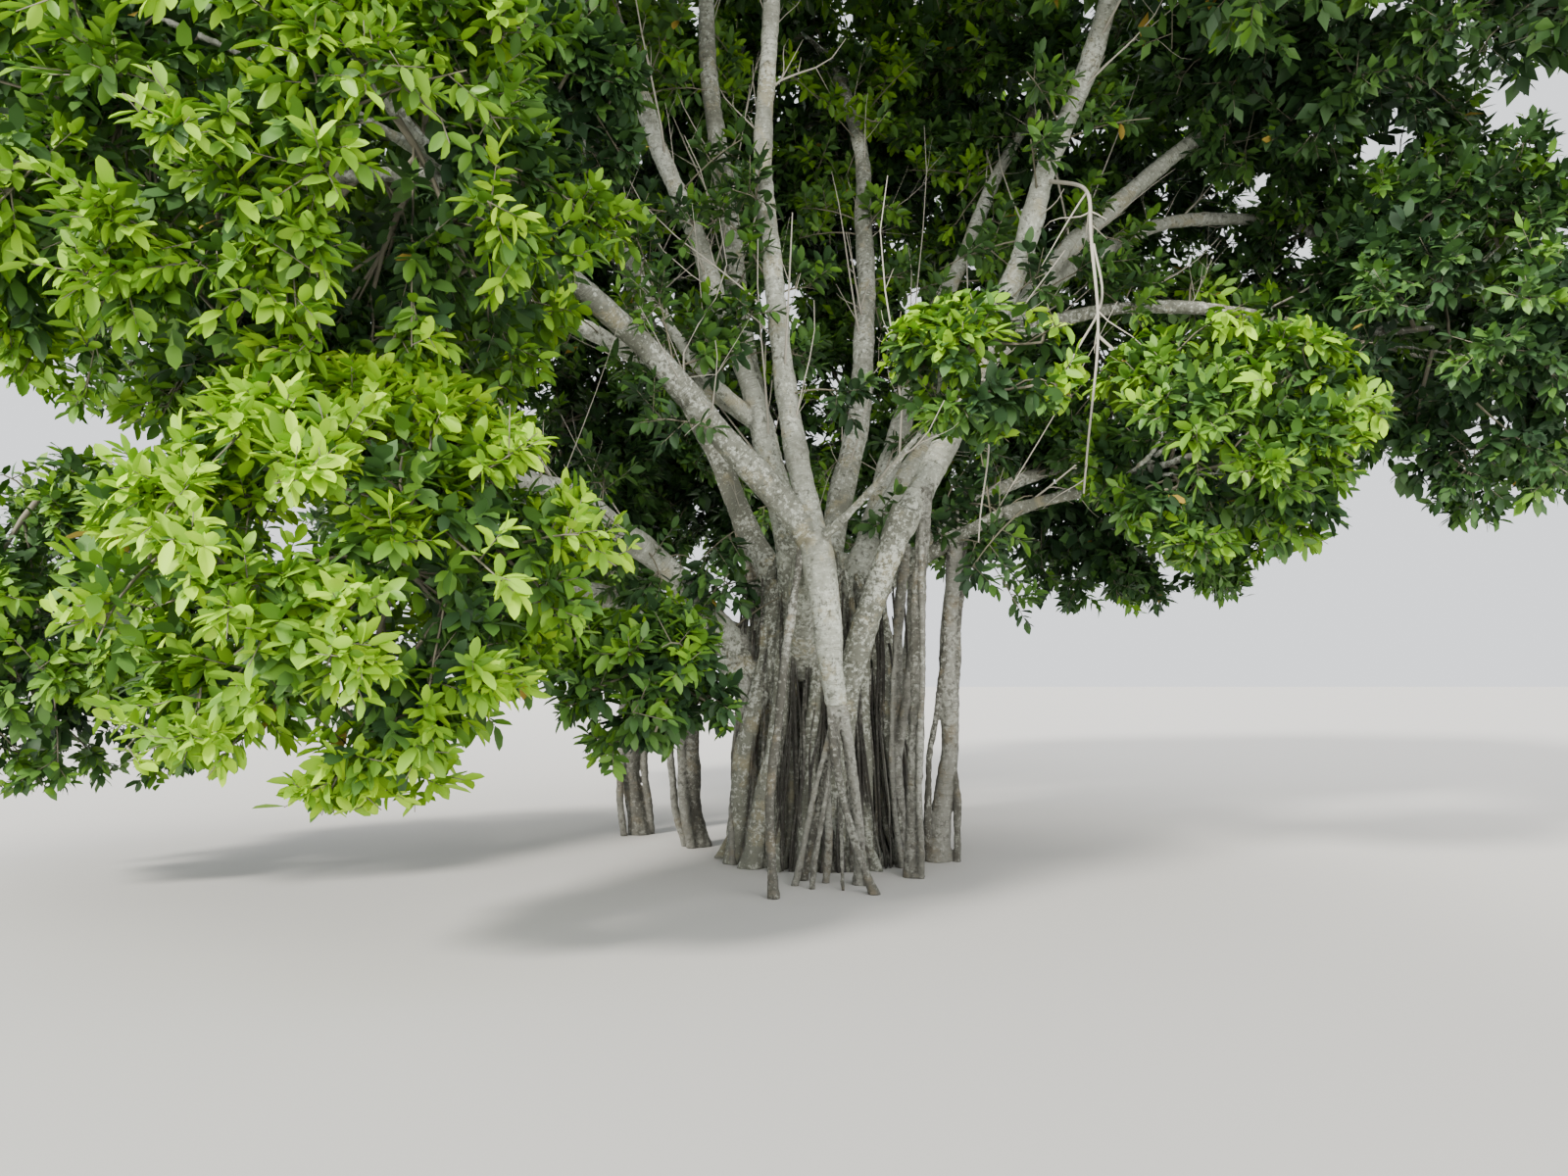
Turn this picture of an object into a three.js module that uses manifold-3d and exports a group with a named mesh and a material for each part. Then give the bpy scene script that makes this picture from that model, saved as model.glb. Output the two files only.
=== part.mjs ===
// A whole banyan: a fluted trunk of fused roots, prop roots round it, tapering boughs and dense masses of foliage.
// Millimetres, +Z up. The origin is the middle of the flat cut under the trunk, at ground level.
// +X is to the right and +Y to the back, seen from the side that the front stem stands on.
import * as THREE from "three";
import { mergeGeometries, mergeVertices } from "three/addons/utils/BufferGeometryUtils.js";
import Module from "manifold-3d";

// Driving sizes of the trunk
const TRUNK_CENTRE = [60, 180];
const TRUNK_FLARE_RADIUS = 780;
const TRUNK_WAIST_RADIUS = 500;
const TRUNK_WAIST_HEIGHT = 1150;
const TRUNK_SHOULDER_RADIUS = 560;
const TRUNK_SHOULDER_HEIGHT = 2050;
const TRUNK_TOP_HEIGHT = 2480;
const FLUTE_COUNT = 8;
const FLUTE_DEPTH = 0.13;
const FLUTE_TWIST_PER_METRE = 0.16;
const FUSED_ROOT_COUNT = 8;
const FUSED_ROOT_FOOT_REACH = 760;
const FUSED_ROOT_TOP_REACH = 440;
const FUSED_ROOT_TOP_HEIGHT = 2150;
const FUSED_ROOT_RADIUS = 92;

// Clearances: a limb from the one that it grows from, foliage from limbs, a mass from the edge of its space,
// and a mass's stem from the end of its bough
const LIMB_GAP = 0.5;
const LEAF_GAP = 25;
const SPACE_GAP = 25;
const STEM_GAP = 0.8;

// Foliage: its core, twigs and leaves as shares of a mass's own reach, with the sizes that stay the same
const TWIG_RADIUS = 30;
const CORE_SHARE = 0.62;
const TWIG_SHARE = 0.76;
const LEAF_SHARE = 0.52;
const LONGEST_LEAF = 1100;
const LEAF_WIDTH_SHARE = 0.55;
const LEAF_THICKNESS_SHARE = 0.035;
const LEAVES_PER_TWIG = 3;
const LEAF_TRIES = [1, 0.84, 0.68, 0.52];
const FIRST_SEED = 1;
const GOLDEN_ANGLE = Math.PI * (3 - Math.sqrt(5));

// A core, twig or leaf whose join leaves an edge shorter than this is left out, and a core is tried again.
const FINEST_EDGE = 0.1;
const CORE_TRIES = 8;

const BARK = { color: 0x9c958a, roughness: 0.85, metalness: 0 };
const ROOT_BARK = { color: 0x8d867c, roughness: 0.9, metalness: 0 };
const DEAD_WOOD = { color: 0xb5aea2, roughness: 0.9, metalness: 0 };
const FOLIAGE = { color: 0x4f8428, roughness: 0.45, metalness: 0 };

// Each limb is a start, a point that it passes half-way and a tip, with its radius at both ends.
// Two stems stand in front of the trunk. The front one hangs clear of the ground on its own roots.
const STEMS = {
  front_stem: { start: [130, -1110, 1230], middle: [60, -1060, 1800], tip: [-25, -975, 2420], radii: [72, 128] },
  right_stem: { start: [205, -330, -120], middle: [225, -520, 1180], tip: [660, -690, 2640], radii: [84, 104] },
};

// Boughs, in the order in which they grow from the trunk, the stems and one another
const BOUGHS = {
  bough_left_long: { start: [-25, -985, 2380], middle: [-1130, -1420, 3590], tip: [-1960, -2500, 4230], radii: [118, 62] },
  bough_up_centre: { start: [-5, -970, 2400], middle: [-350, -640, 4850], tip: [-250, -700, 7620], radii: [92, 58] },
  bough_up_left: { start: [-190, -450, 2300], middle: [-800, -330, 4500], tip: [-2100, 150, 7500], radii: [96, 54] },
  bough_up_back: { start: [-130, -180, 2300], middle: [-700, 130, 5100], tip: [-900, 330, 8500], radii: [112, 56] },
  bough_up_left_fork: { start: [-1215, -185, 5620], middle: [-1500, -420, 6450], tip: [-1800, -950, 7050], radii: [44, 34] },
  bough_left_thin: { start: [-430, -450, 3300], middle: [-1010, -900, 3880], tip: [-1430, -1330, 4530], radii: [56, 34] },
  bough_up_right: { start: [625, -670, 2500], middle: [1420, -420, 4230], tip: [2180, -900, 6500], radii: [102, 76] },
  bough_right_long: { start: [240, -40, 2000], middle: [1800, 380, 4500], tip: [3450, 380, 6030], radii: [138, 62] },
  bough_right_upper: { start: [1950, 400, 4650], middle: [3200, 950, 5350], tip: [4350, 1250, 5450], radii: [76, 52] },
  bough_right_level: { start: [1500, 260, 4130], middle: [2700, 150, 4380], tip: [3800, -100, 4150], radii: [66, 46] },
  bough_front_twig: { start: [20, -1030, 2380], middle: [360, -1400, 2680], tip: [640, -1660, 3000], radii: [34, 22] },
  bough_left_low: { start: [-330, 60, 1180], middle: [-1330, -480, 2430], tip: [-1930, -2150, 2650], radii: [138, 62] },
  bough_left_flat: { start: [-300, 260, 1620], middle: [-2200, 330, 2120], tip: [-4150, -330, 2180], radii: [120, 62] },
  bough_back_left_low: { start: [-350, 560, 1560], middle: [-1500, 1050, 1900], tip: [-2400, 1950, 2620], radii: [84, 56] },
  bough_back_up: { start: [80, 300, 2150], middle: [500, 1000, 4800], tip: [350, 2300, 7300], radii: [120, 62] },
  bough_back_right_up: { start: [330, 380, 2100], middle: [1150, 1150, 4600], tip: [2000, 1850, 6500], radii: [116, 62] },
  bough_left_mid: { start: [-430, -300, 3350], middle: [-2300, -180, 4350], tip: [-3950, 50, 4950], radii: [78, 48] },
  bough_back_left_up: { start: [-230, 520, 2050], middle: [-1150, 1350, 3950], tip: [-1950, 2250, 5700], radii: [118, 60] },
  bough_back_low: { start: [20, 620, 1850], middle: [-60, 1800, 2700], tip: [-20, 2900, 3200], radii: [88, 52] },
  bough_back_right_low: { start: [380, 480, 1900], middle: [1400, 1350, 2850], tip: [2400, 1900, 3350], radii: [96, 56] },
  bough_right_lit: { start: [480, 30, 2080], middle: [1200, -330, 2520], tip: [1950, -1000, 2750], radii: [66, 42] },
};

// Prop roots stand on the ground. Where a tip runs into the limb that it hangs from, it is cut off there.
const ROOTS = {
  root_front_left: { start: [-290, -1450, -120], middle: [-290, -1330, 900], tip: [-110, -1000, 2330], radii: [36, 30] },
  root_crossing_right: { start: [420, -1330, -120], middle: [150, -1225, 650], tip: [90, -1100, 1330], radii: [27, 27] },
  root_crossing_left: { start: [-130, -800, -120], middle: [15, -980, 620], tip: [135, -1085, 1340], radii: [30, 26] },
  root_front_centre: { start: [290, -960, -120], middle: [250, -1060, 640], tip: [145, -1100, 1330], radii: [40, 34] },
  root_right_front: { start: [690, -700, -120], middle: [725, -670, 1000], tip: [800, -620, 2800], radii: [64, 50] },
  root_right_inner: { start: [660, -330, -120], middle: [625, -260, 1100], tip: [700, -300, 2420], radii: [46, 40] },
  root_right_slant: { start: [430, 80, -120], middle: [620, -230, 820], tip: [800, -520, 2100], radii: [40, 34] },
  root_right_outer: { start: [960, -40, -120], middle: [1010, -60, 950], tip: [1080, -215, 2470], radii: [84, 58] },
  root_left_inner: { start: [-520, -190, -120], middle: [-500, -150, 900], tip: [-560, -30, 1720], radii: [62, 56] },
  root_left_pair: { start: [-900, 640, -120], middle: [-1010, 560, 760], tip: [-1080, 380, 1880], radii: [84, 62] },
  root_left_far: { start: [-1500, 1280, -120], middle: [-1560, 1250, 800], tip: [-1590, 1130, 1950], radii: [86, 66] },
  root_back_left: { start: [-330, 1280, -120], middle: [-390, 1210, 1100], tip: [-640, 930, 2840], radii: [74, 58] },
  root_back_right: { start: [820, 1150, -120], middle: [850, 1080, 1150], tip: [900, 980, 2450], radii: [80, 60] },
};

// A dead branch hangs from the bough that rises to the right.
const DEAD_BRANCH = [[1740, -560, 5120], [1990, -850, 4960], [1930, -1150, 4400], [1880, -1350, 3600], [1740, -1500, 2640]];
const DEAD_BRANCH_RADII = [20, 11];

// Each mass of foliage: its middle, its reach along X, Y and Z, and the bough that feeds it
const MASSES = {
  foliage_left_front_low: { middle: [-2450, -3150, 1950], reach: [1500, 1300, 1220], limb: "bough_left_low" },
  foliage_left_front_high: { middle: [-2950, -2950, 4200], reach: [2050, 1700, 1650], limb: "bough_left_long" },
  foliage_left_far_low: { middle: [-5200, -850, 1800], reach: [1450, 1550, 1280], limb: "bough_left_flat" },
  foliage_left_middle: { middle: [-4950, 50, 4950], reach: [1750, 2000, 1800], limb: "bough_left_mid" },
  foliage_left_high: { middle: [-3900, 700, 7850], reach: [2350, 2200, 1900], limb: "bough_up_left" },
  foliage_top_left: { middle: [-2500, -2250, 7350], reach: [2250, 2050, 1850], limb: "bough_up_left_fork" },
  foliage_top_front: { middle: [50, -1950, 8500], reach: [1900, 1800, 1600], limb: "bough_up_centre" },
  foliage_crown_top: { middle: [-200, 800, 9250], reach: [3000, 2700, 1650], limb: "bough_up_back" },
  foliage_top_right: { middle: [2600, -2050, 7350], reach: [2250, 2050, 1850], limb: "bough_up_right" },
  foliage_right_high: { middle: [4600, 100, 7000], reach: [2200, 2150, 1900], limb: "bough_right_long" },
  foliage_right_far: { middle: [5200, 1650, 4900], reach: [1600, 1850, 1550], limb: "bough_right_upper" },
  foliage_right_front: { middle: [4850, -750, 3950], reach: [1750, 1600, 1500], limb: "bough_right_level" },
  foliage_right_lit: { middle: [2750, -1350, 3000], reach: [1080, 980, 920], limb: "bough_right_lit" },
  foliage_centre_lit: { middle: [970, -1930, 3360], reach: [720, 620, 480], limb: "bough_front_twig" },
  foliage_back_left_low: { middle: [-3100, 3000, 3600], reach: [2450, 2000, 1900], limb: "bough_back_left_low" },
  foliage_back_left_high: { middle: [-2500, 3200, 6750], reach: [2500, 2200, 2200], limb: "bough_back_left_up" },
  foliage_back_low: { middle: [50, 3900, 3800], reach: [2600, 1600, 1850], limb: "bough_back_low" },
  foliage_back_high: { middle: [200, 3700, 6950], reach: [2600, 1900, 2200], limb: "bough_back_up" },
  foliage_back_right_low: { middle: [3200, 2700, 3700], reach: [2300, 1900, 1850], limb: "bough_back_right_low" },
  foliage_back_right_high: { middle: [2900, 2950, 7100], reach: [2500, 2200, 2200], limb: "bough_back_right_up" },
  foliage_inner_left: { middle: [-1950, -1700, 5200], reach: [900, 850, 850], limb: "bough_left_thin" },
  foliage_trunk_left: { middle: [-1200, -1400, 1400], reach: [780, 560, 680], stem: [-520, -70, 1560] },
};
const WIDEST_MASS = 2000;
const TWIGS_OF_WIDEST = 7;
const TWIGS_OF_SMALLEST = 5;

const wasm = await Module();
wasm.setup();

const vector = (p) => new THREE.Vector3(...p);

/** A seeded source of numbers from 0 to 1, the same on every run. */
function seeded(seed) {
  let state = seed * 7919 + 17;
  return () => {
    state = (state * 1664525 + 1013904223) % 4294967296;
    return state / 4294967296;
  };
}

/** A closed geometry as a solid that can be joined and cut. */
function solidOf(geometry) {
  const bare = geometry.index ? geometry.toNonIndexed() : geometry.clone();
  bare.deleteAttribute("normal");
  bare.deleteAttribute("uv");
  const merged = mergeVertices(bare, 1e-3);
  const kept = [];
  const corners = merged.index.array;
  for (let i = 0; i < corners.length; i += 3) {
    const [a, b, c] = corners.slice(i, i + 3);
    if (a !== b && b !== c && a !== c) kept.push(a, b, c);
  }
  const vertProperties = merged.attributes.position.array;
  return new wasm.Manifold(new wasm.Mesh({ numProp: 3, vertProperties, triVerts: new Uint32Array(kept) }));
}

/** A solid as a geometry with flat faces. */
function geometryOf(solid) {
  const mesh = solid.getMesh();
  const positions = new Float32Array(mesh.numVert * 3);
  for (let i = 0; i < mesh.numVert; i++) {
    positions.set(mesh.vertProperties.subarray(i * mesh.numProp, i * mesh.numProp + 3), i * 3);
  }
  const indexed = new THREE.BufferGeometry();
  indexed.setAttribute("position", new THREE.BufferAttribute(positions, 3));
  indexed.setIndex(new THREE.BufferAttribute(mesh.triVerts, 1));
  const flat = indexed.toNonIndexed();
  flat.computeVertexNormals();
  return flat;
}

const largest = (solid) => solid.decompose().sort((a, b) => b.volume() - a.volume())[0];
const joined = (solids) => solids.reduce((whole, next) => whole.add(next));

/** True if no edge of a solid is so short that the join left a sliver there. */
function freeOfSlivers(solid) {
  const { numProp, vertProperties, triVerts } = solid.getMesh();
  const corner = (i) => new THREE.Vector3().fromArray(vertProperties, triVerts[i] * numProp);
  for (let i = 0; i < triVerts.length; i += 3) {
    const [a, b, c] = [corner(i), corner(i + 1), corner(i + 2)];
    if (Math.min(a.distanceTo(b), b.distanceTo(c), c.distanceTo(a)) < FINEST_EDGE) return false;
  }
  return true;
}

/** The curve that starts, passes its middle point half-way and ends at its tip. */
function curveOf(limb) {
  const [start, middle, tip] = [limb.start, limb.middle, limb.tip].map(vector);
  const bend = middle.clone().multiplyScalar(2).addScaledVector(start, -0.5).addScaledVector(tip, -0.5);
  return new THREE.QuadraticBezierCurve3(start, bend, tip);
}

/** A cylinder laid along a curve, with a radius that eases from one end to the other. */
function tube(curve, radii, sides, steps, grown = 0) {
  const cylinder = new THREE.CylinderGeometry(1, 1, 1, sides, steps);
  const frames = curve.computeFrenetFrames(steps);
  const position = cylinder.attributes.position;
  for (let i = 0; i < position.count; i++) {
    const step = Math.round((position.getY(i) + 0.5) * steps);
    const radius = radii[0] + (radii[1] - radii[0]) * Math.pow(step / steps, 0.85) + grown;
    const place = curve.getPointAt(step / steps);
    if (step === 0) place.addScaledVector(frames.tangents[0], -grown);
    if (step === steps) place.addScaledVector(frames.tangents[steps], grown);
    place.addScaledVector(frames.normals[step], position.getX(i) * radius);
    place.addScaledVector(frames.binormals[step], -position.getZ(i) * radius);
    position.setXYZ(i, place.x, place.y, place.z);
  }
  return solidOf(cylinder);
}

const limbSolid = (limb, grown = 0) => tube(curveOf(limb), limb.radii, 6, 6, grown);
const rootSolid = (limb, grown = 0) => tube(curveOf(limb), limb.radii, 5, 3, grown);

/** The trunk's middle: a turned profile with flutes pressed in, twisting as it rises. */
function trunkCore() {
  const profile = [
    [0, -100],
    [TRUNK_FLARE_RADIUS, -100],
    [TRUNK_FLARE_RADIUS * 0.94, 60],
    [TRUNK_FLARE_RADIUS * 0.8, 260],
    [TRUNK_WAIST_RADIUS * 1.1, 620],
    [TRUNK_WAIST_RADIUS, TRUNK_WAIST_HEIGHT],
    [TRUNK_SHOULDER_RADIUS * 0.97, (TRUNK_WAIST_HEIGHT + TRUNK_SHOULDER_HEIGHT) / 2],
    [TRUNK_SHOULDER_RADIUS, TRUNK_SHOULDER_HEIGHT],
    [TRUNK_SHOULDER_RADIUS * 0.66, TRUNK_TOP_HEIGHT - 110],
    [0, TRUNK_TOP_HEIGHT],
  ].map(([radius, height]) => new THREE.Vector2(radius, height));
  const turned = new THREE.LatheGeometry(profile, FLUTE_COUNT * 3);
  const position = turned.attributes.position;
  for (let i = 0; i < position.count; i++) {
    const height = position.getY(i);
    const angle = Math.atan2(position.getZ(i), position.getX(i));
    const turn = angle + (FLUTE_TWIST_PER_METRE * height) / 1000;
    const flute = 1 + FLUTE_DEPTH * Math.cos(FLUTE_COUNT * turn) * (1 + 0.4 * Math.sin(3 * angle));
    position.setX(i, position.getX(i) * flute);
    position.setZ(i, position.getZ(i) * flute);
  }
  turned.rotateX(Math.PI / 2);
  turned.translate(TRUNK_CENTRE[0], TRUNK_CENTRE[1], 0);
  return solidOf(turned);
}

/** Roots that have grown together with the trunk: they stand apart at the foot and run into it above. */
function fusedRoots(grown = 0) {
  const random = seeded(5);
  return Array.from({ length: FUSED_ROOT_COUNT }, (_, i) => {
    const angle = (i / FUSED_ROOT_COUNT) * 2 * Math.PI + 0.35 + 0.3 * (random() - 0.5);
    const foot = FUSED_ROOT_FOOT_REACH * (0.86 + 0.24 * random());
    const top = FUSED_ROOT_TOP_REACH;
    const at = (reach, turn, height) => [
      TRUNK_CENTRE[0] + reach * Math.cos(angle + turn),
      TRUNK_CENTRE[1] + reach * Math.sin(angle + turn),
      height,
    ];
    const radius = FUSED_ROOT_RADIUS * (0.8 + 0.5 * random());
    return rootSolid(
      {
        start: at(foot, 0, -120),
        middle: at((foot + top) / 2, 0.1, FUSED_ROOT_TOP_HEIGHT * 0.5),
        tip: at(top, 0.25, FUSED_ROOT_TOP_HEIGHT),
        radii: [radius * 1.15, radius],
      },
      grown,
    );
  });
}

// The shoulders that carry the front fork and the left boughs, fused with the trunk
const SHOULDERS = [
  { start: [-60, -150, 1500], middle: [-90, -620, 1900], tip: [-50, -930, 2300], radii: [170, 112] },
  { start: [-40, -60, 1800], middle: [-130, -320, 2130], tip: [-190, -480, 2460], radii: [190, 120] },
  { start: [-100, 150, 900], middle: [-420, 60, 1300], tip: [-640, -60, 1560], radii: [230, 150] },
];

function trunkSolid() {
  const pieces = [trunkCore(), ...fusedRoots(), ...SHOULDERS.map((s) => limbSolid(s))];
  return joined(pieces).trimByPlane([0, 0, 1], 0);
}

/** The same trunk a little larger all round, to cut what grows from it. */
function trunkGrown() {
  const spread = (TRUNK_SHOULDER_RADIUS + LIMB_GAP) / TRUNK_SHOULDER_RADIUS;
  const core = trunkCore()
    .translate([-TRUNK_CENTRE[0], -TRUNK_CENTRE[1], 0])
    .scale([spread, spread, 1 + LIMB_GAP / TRUNK_TOP_HEIGHT])
    .translate([TRUNK_CENTRE[0], TRUNK_CENTRE[1], 0]);
  return joined([core, ...fusedRoots(LIMB_GAP), ...SHOULDERS.map((s) => limbSolid(s, LIMB_GAP))]);
}

/** Builds every limb in order, each cut where it meets the ones before it. */
function growLimbs() {
  const solids = { trunk: trunkSolid() };
  const cutters = [trunkGrown()];
  const near = [];
  const add = (name, solid, cutter, wide) => {
    let cut = solid;
    for (const other of cutters) cut = cut.subtract(other);
    solids[name] = largest(cut.trimByPlane([0, 0, 1], 0));
    cutters.push(cutter);
    near.push(wide);
  };
  for (const [name, limb] of [...Object.entries(STEMS), ...Object.entries(BOUGHS)]) {
    add(name, limbSolid(limb), limbSolid(limb, LIMB_GAP), limbSolid(limb, LEAF_GAP));
  }
  for (const [name, limb] of Object.entries(ROOTS)) {
    add(name, rootSolid(limb), rootSolid(limb, LIMB_GAP), rootSolid(limb, LEAF_GAP));
  }
  const hanging = new THREE.CatmullRomCurve3(DEAD_BRANCH.map(vector));
  add(
    "dead_branch",
    tube(hanging, DEAD_BRANCH_RADII, 4, 10),
    tube(hanging, DEAD_BRANCH_RADII, 4, 10, LIMB_GAP),
    tube(hanging, DEAD_BRANCH_RADII, 4, 10, LEAF_GAP),
  );
  return { solids, close: joined(cutters), near: joined([trunkGrown(), ...near]) };
}

const mean = (reach) => Math.cbrt(reach[0] * reach[1] * reach[2]);

/** True if a point is inside a mass's own space: its rounded reach, short of the planes halfway to its neighbours. */
function ownSpace(name) {
  const { middle, reach } = MASSES[name];
  const own = vector(middle);
  const others = Object.entries(MASSES)
    .filter(([other]) => other !== name)
    .map(([, m]) => {
      const way = vector(m.middle).sub(own);
      const apart = way.length();
      const edge = (apart * apart + mean(reach) ** 2 - mean(m.reach) ** 2) / (2 * apart);
      return { way: way.normalize(), edge: edge - SPACE_GAP };
    });
  return (p) => {
    const offset = p.clone().sub(own);
    const round = Math.hypot(offset.x / reach[0], offset.y / reach[1], offset.z / reach[2]);
    return round <= 1 && others.every(({ way, edge }) => offset.dot(way) <= edge);
  };
}

/** How far from the middle a mass's space reaches in a direction, found by halving. */
function reachIn(mass, inside, direction) {
  const middle = vector(mass.middle);
  let near = 0;
  let far = 1;
  const full = direction.clone().multiply(vector(mass.reach));
  for (let i = 0; i < 12; i++) {
    const share = (near + far) / 2;
    if (inside(middle.clone().addScaledVector(full, share))) near = share;
    else far = share;
  }
  return full.multiplyScalar(near);
}

/** The n-th of count directions spread evenly over a ball. */
function evenDirection(n, count, turn) {
  const height = 1 - (2 * n + 1) / count;
  const flat = Math.sqrt(1 - height * height);
  const angle = n * GOLDEN_ANGLE + turn;
  return new THREE.Vector3(flat * Math.cos(angle), flat * Math.sin(angle), height);
}

/** A three-sided spike from a root to a tip. */
function spike(from, to, radius) {
  const way = to.clone().sub(from);
  const cone = new THREE.CylinderGeometry(radius * 0.6, radius, way.length(), 3, 1);
  cone.translate(0, way.length() / 2, 0);
  cone.applyQuaternion(new THREE.Quaternion().setFromUnitVectors(new THREE.Vector3(0, 1, 0), way.normalize()));
  cone.translate(from.x, from.y, from.z);
  return cone;
}

/** A three-sided stem whose foot lies against the end of its bough and that bends towards a mass's middle. */
function stemSolid(root, middle, facing, radius) {
  const end = middle.clone().lerp(root, 0.1);
  const bend = root.clone().addScaledVector(facing, root.distanceTo(end) * 0.4);
  return tube(new THREE.QuadraticBezierCurve3(root, bend, end), [radius, radius * 0.6], 3, 2);
}

/** The six corners of a leaf of eight faces: root, tip, two edges, crown and keel. */
function leafCorners(root, way, side, length) {
  const up = new THREE.Vector3().crossVectors(way, side).normalize();
  const broad = root.clone().addScaledVector(way, length * 0.48);
  const half = (length * LEAF_WIDTH_SHARE) / 2;
  const thick = (length * LEAF_THICKNESS_SHARE) / 2;
  return [
    root.clone(),
    root.clone().addScaledVector(way, length).addScaledVector(up, -length * 0.06),
    broad.clone().addScaledVector(side, half),
    broad.clone().addScaledVector(side, -half),
    broad.clone().addScaledVector(up, thick + length * 0.03),
    broad.clone().addScaledVector(up, -thick + length * 0.03),
  ];
}

function leafSolid(corners) {
  const faces = [0, 4, 2, 0, 2, 5, 0, 5, 3, 0, 3, 4, 1, 2, 4, 1, 5, 2, 1, 3, 5, 1, 4, 3];
  const leaf = new THREE.BufferGeometry();
  leaf.setAttribute("position", new THREE.Float32BufferAttribute(corners.flatMap((c) => c.toArray()), 3));
  leaf.setIndex(faces);
  return solidOf(leaf);
}

/** A ball of few faces, uneven, that follows the shape of a mass's space. */
function roughCore(mass, inside, random) {
  const core = new THREE.OctahedronGeometry(1, 1);
  core.rotateX(0.6);
  core.rotateZ(6.28 * random());
  const position = core.attributes.position;
  const lumps = new Map();
  for (let i = 0; i < position.count; i++) {
    const direction = new THREE.Vector3().fromBufferAttribute(position, i).normalize();
    const key = direction.toArray().map((x) => Math.round(x * 1000)).join();
    if (!lumps.has(key)) lumps.set(key, CORE_SHARE * (0.8 + 0.36 * random()));
    const place = reachIn(mass, inside, direction).multiplyScalar(lumps.get(key)).add(vector(mass.middle));
    position.setXYZ(i, place.x, place.y, place.z);
  }
  return solidOf(core);
}

/** One mass: a stem, a rough core round its end, twigs that stand out of the core, and leaves on the twigs. */
function growMass(name, number, close, near) {
  const mass = MASSES[name];
  const inside = ownSpace(name);
  const random = seeded(number + FIRST_SEED);
  const middle = vector(mass.middle);
  const size = mean(mass.reach);
  const limb = mass.limb && BOUGHS[mass.limb];
  const facing = limb ? curveOf(limb).getTangent(1) : middle.clone().sub(vector(mass.stem)).normalize();
  const root = vector(limb ? limb.tip : mass.stem).addScaledVector(facing, STEM_GAP);
  const stemRadius = limb ? limb.radii[1] * 0.8 : 34;

  const stem = stemSolid(root, middle, facing, stemRadius).subtract(close);
  let whole = stem;
  for (let tries = 0; tries < CORE_TRIES; tries++) {
    whole = largest(roughCore(mass, inside, random).subtract(near)).add(stem);
    if (freeOfSlivers(whole)) break;
  }

  const twigs = Math.round(THREE.MathUtils.mapLinear(size, 700, WIDEST_MASS, TWIGS_OF_SMALLEST, TWIGS_OF_WIDEST));
  const turn = 2 * Math.PI * random();
  const length = Math.min(LEAF_SHARE * size, LONGEST_LEAF);
  const grownTwigs = [];
  const leaves = [];
  for (let n = 0; n < twigs; n++) {
    const direction = evenDirection(n, twigs, turn);
    const full = reachIn(mass, inside, direction);
    const tip = middle.clone().addScaledVector(full, TWIG_SHARE);
    const from = middle.clone().addScaledVector(full, 0.15);
    const twig = solidOf(spike(from, tip, TWIG_RADIUS));
    if (!twig.intersect(near).isEmpty()) continue;
    grownTwigs.push(twig);
    const out = full.clone().normalize();
    const across = new THREE.Vector3().crossVectors(out, new THREE.Vector3(0.3, 0.2, 1)).normalize();
    for (let k = 0; k < LEAVES_PER_TWIG; k++) {
      const last = k === LEAVES_PER_TWIG - 1;
      const place = from.clone().lerp(tip, last ? 0.97 : 0.8 + 0.1 * k);
      const lean = across.clone().applyAxisAngle(out, k * GOLDEN_ANGLE + 6.28 * random());
      const way = out.clone().multiplyScalar(last ? 1 : 0.5).addScaledVector(lean, last ? 0.3 : 1);
      way.z -= 0.18;
      way.normalize();
      const side = new THREE.Vector3().crossVectors(way, out.clone().addScaledVector(lean, 0.3)).normalize();
      for (const share of LEAF_TRIES) {
        const corners = leafCorners(place, way, side, length * share * (0.9 + 0.2 * random()));
        if (!corners.every(inside)) continue;
        const leaf = leafSolid(corners);
        if (!leaf.intersect(near).isEmpty()) continue;
        if (leaves.some((other) => !other.intersect(leaf).isEmpty())) continue;
        leaves.push(leaf);
        break;
      }
    }
  }
  for (const part of [...grownTwigs, ...leaves]) {
    const next = whole.add(part);
    if (freeOfSlivers(next)) whole = next;
  }
  return largest(whole);
}

function mesh(name, solid, look) {
  const made = new THREE.Mesh(geometryOf(solid), new THREE.MeshStandardMaterial({ ...look, flatShading: true }));
  made.name = name;
  return made;
}

const tree = new THREE.Group();
const { solids, close, near } = growLimbs();
for (const [name, solid] of Object.entries(solids)) {
  const look = name in ROOTS ? ROOT_BARK : name === "dead_branch" ? DEAD_WOOD : BARK;
  tree.add(mesh(name, solid, look));
}
Object.keys(MASSES).forEach((name, i) => tree.add(mesh(name, growMass(name, i, close, near), FOLIAGE)));

export default tree;
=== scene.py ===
"""A whole banyan: fused trunk, prop roots, boughs, twigs and glossy leaves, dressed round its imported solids.

Metres, +Z up. The origin is the middle of the flat cut under the trunk, at ground level.
"""

import logging
import math
from collections.abc import Callable, Sequence
from dataclasses import dataclass, field
from enum import Enum

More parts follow.
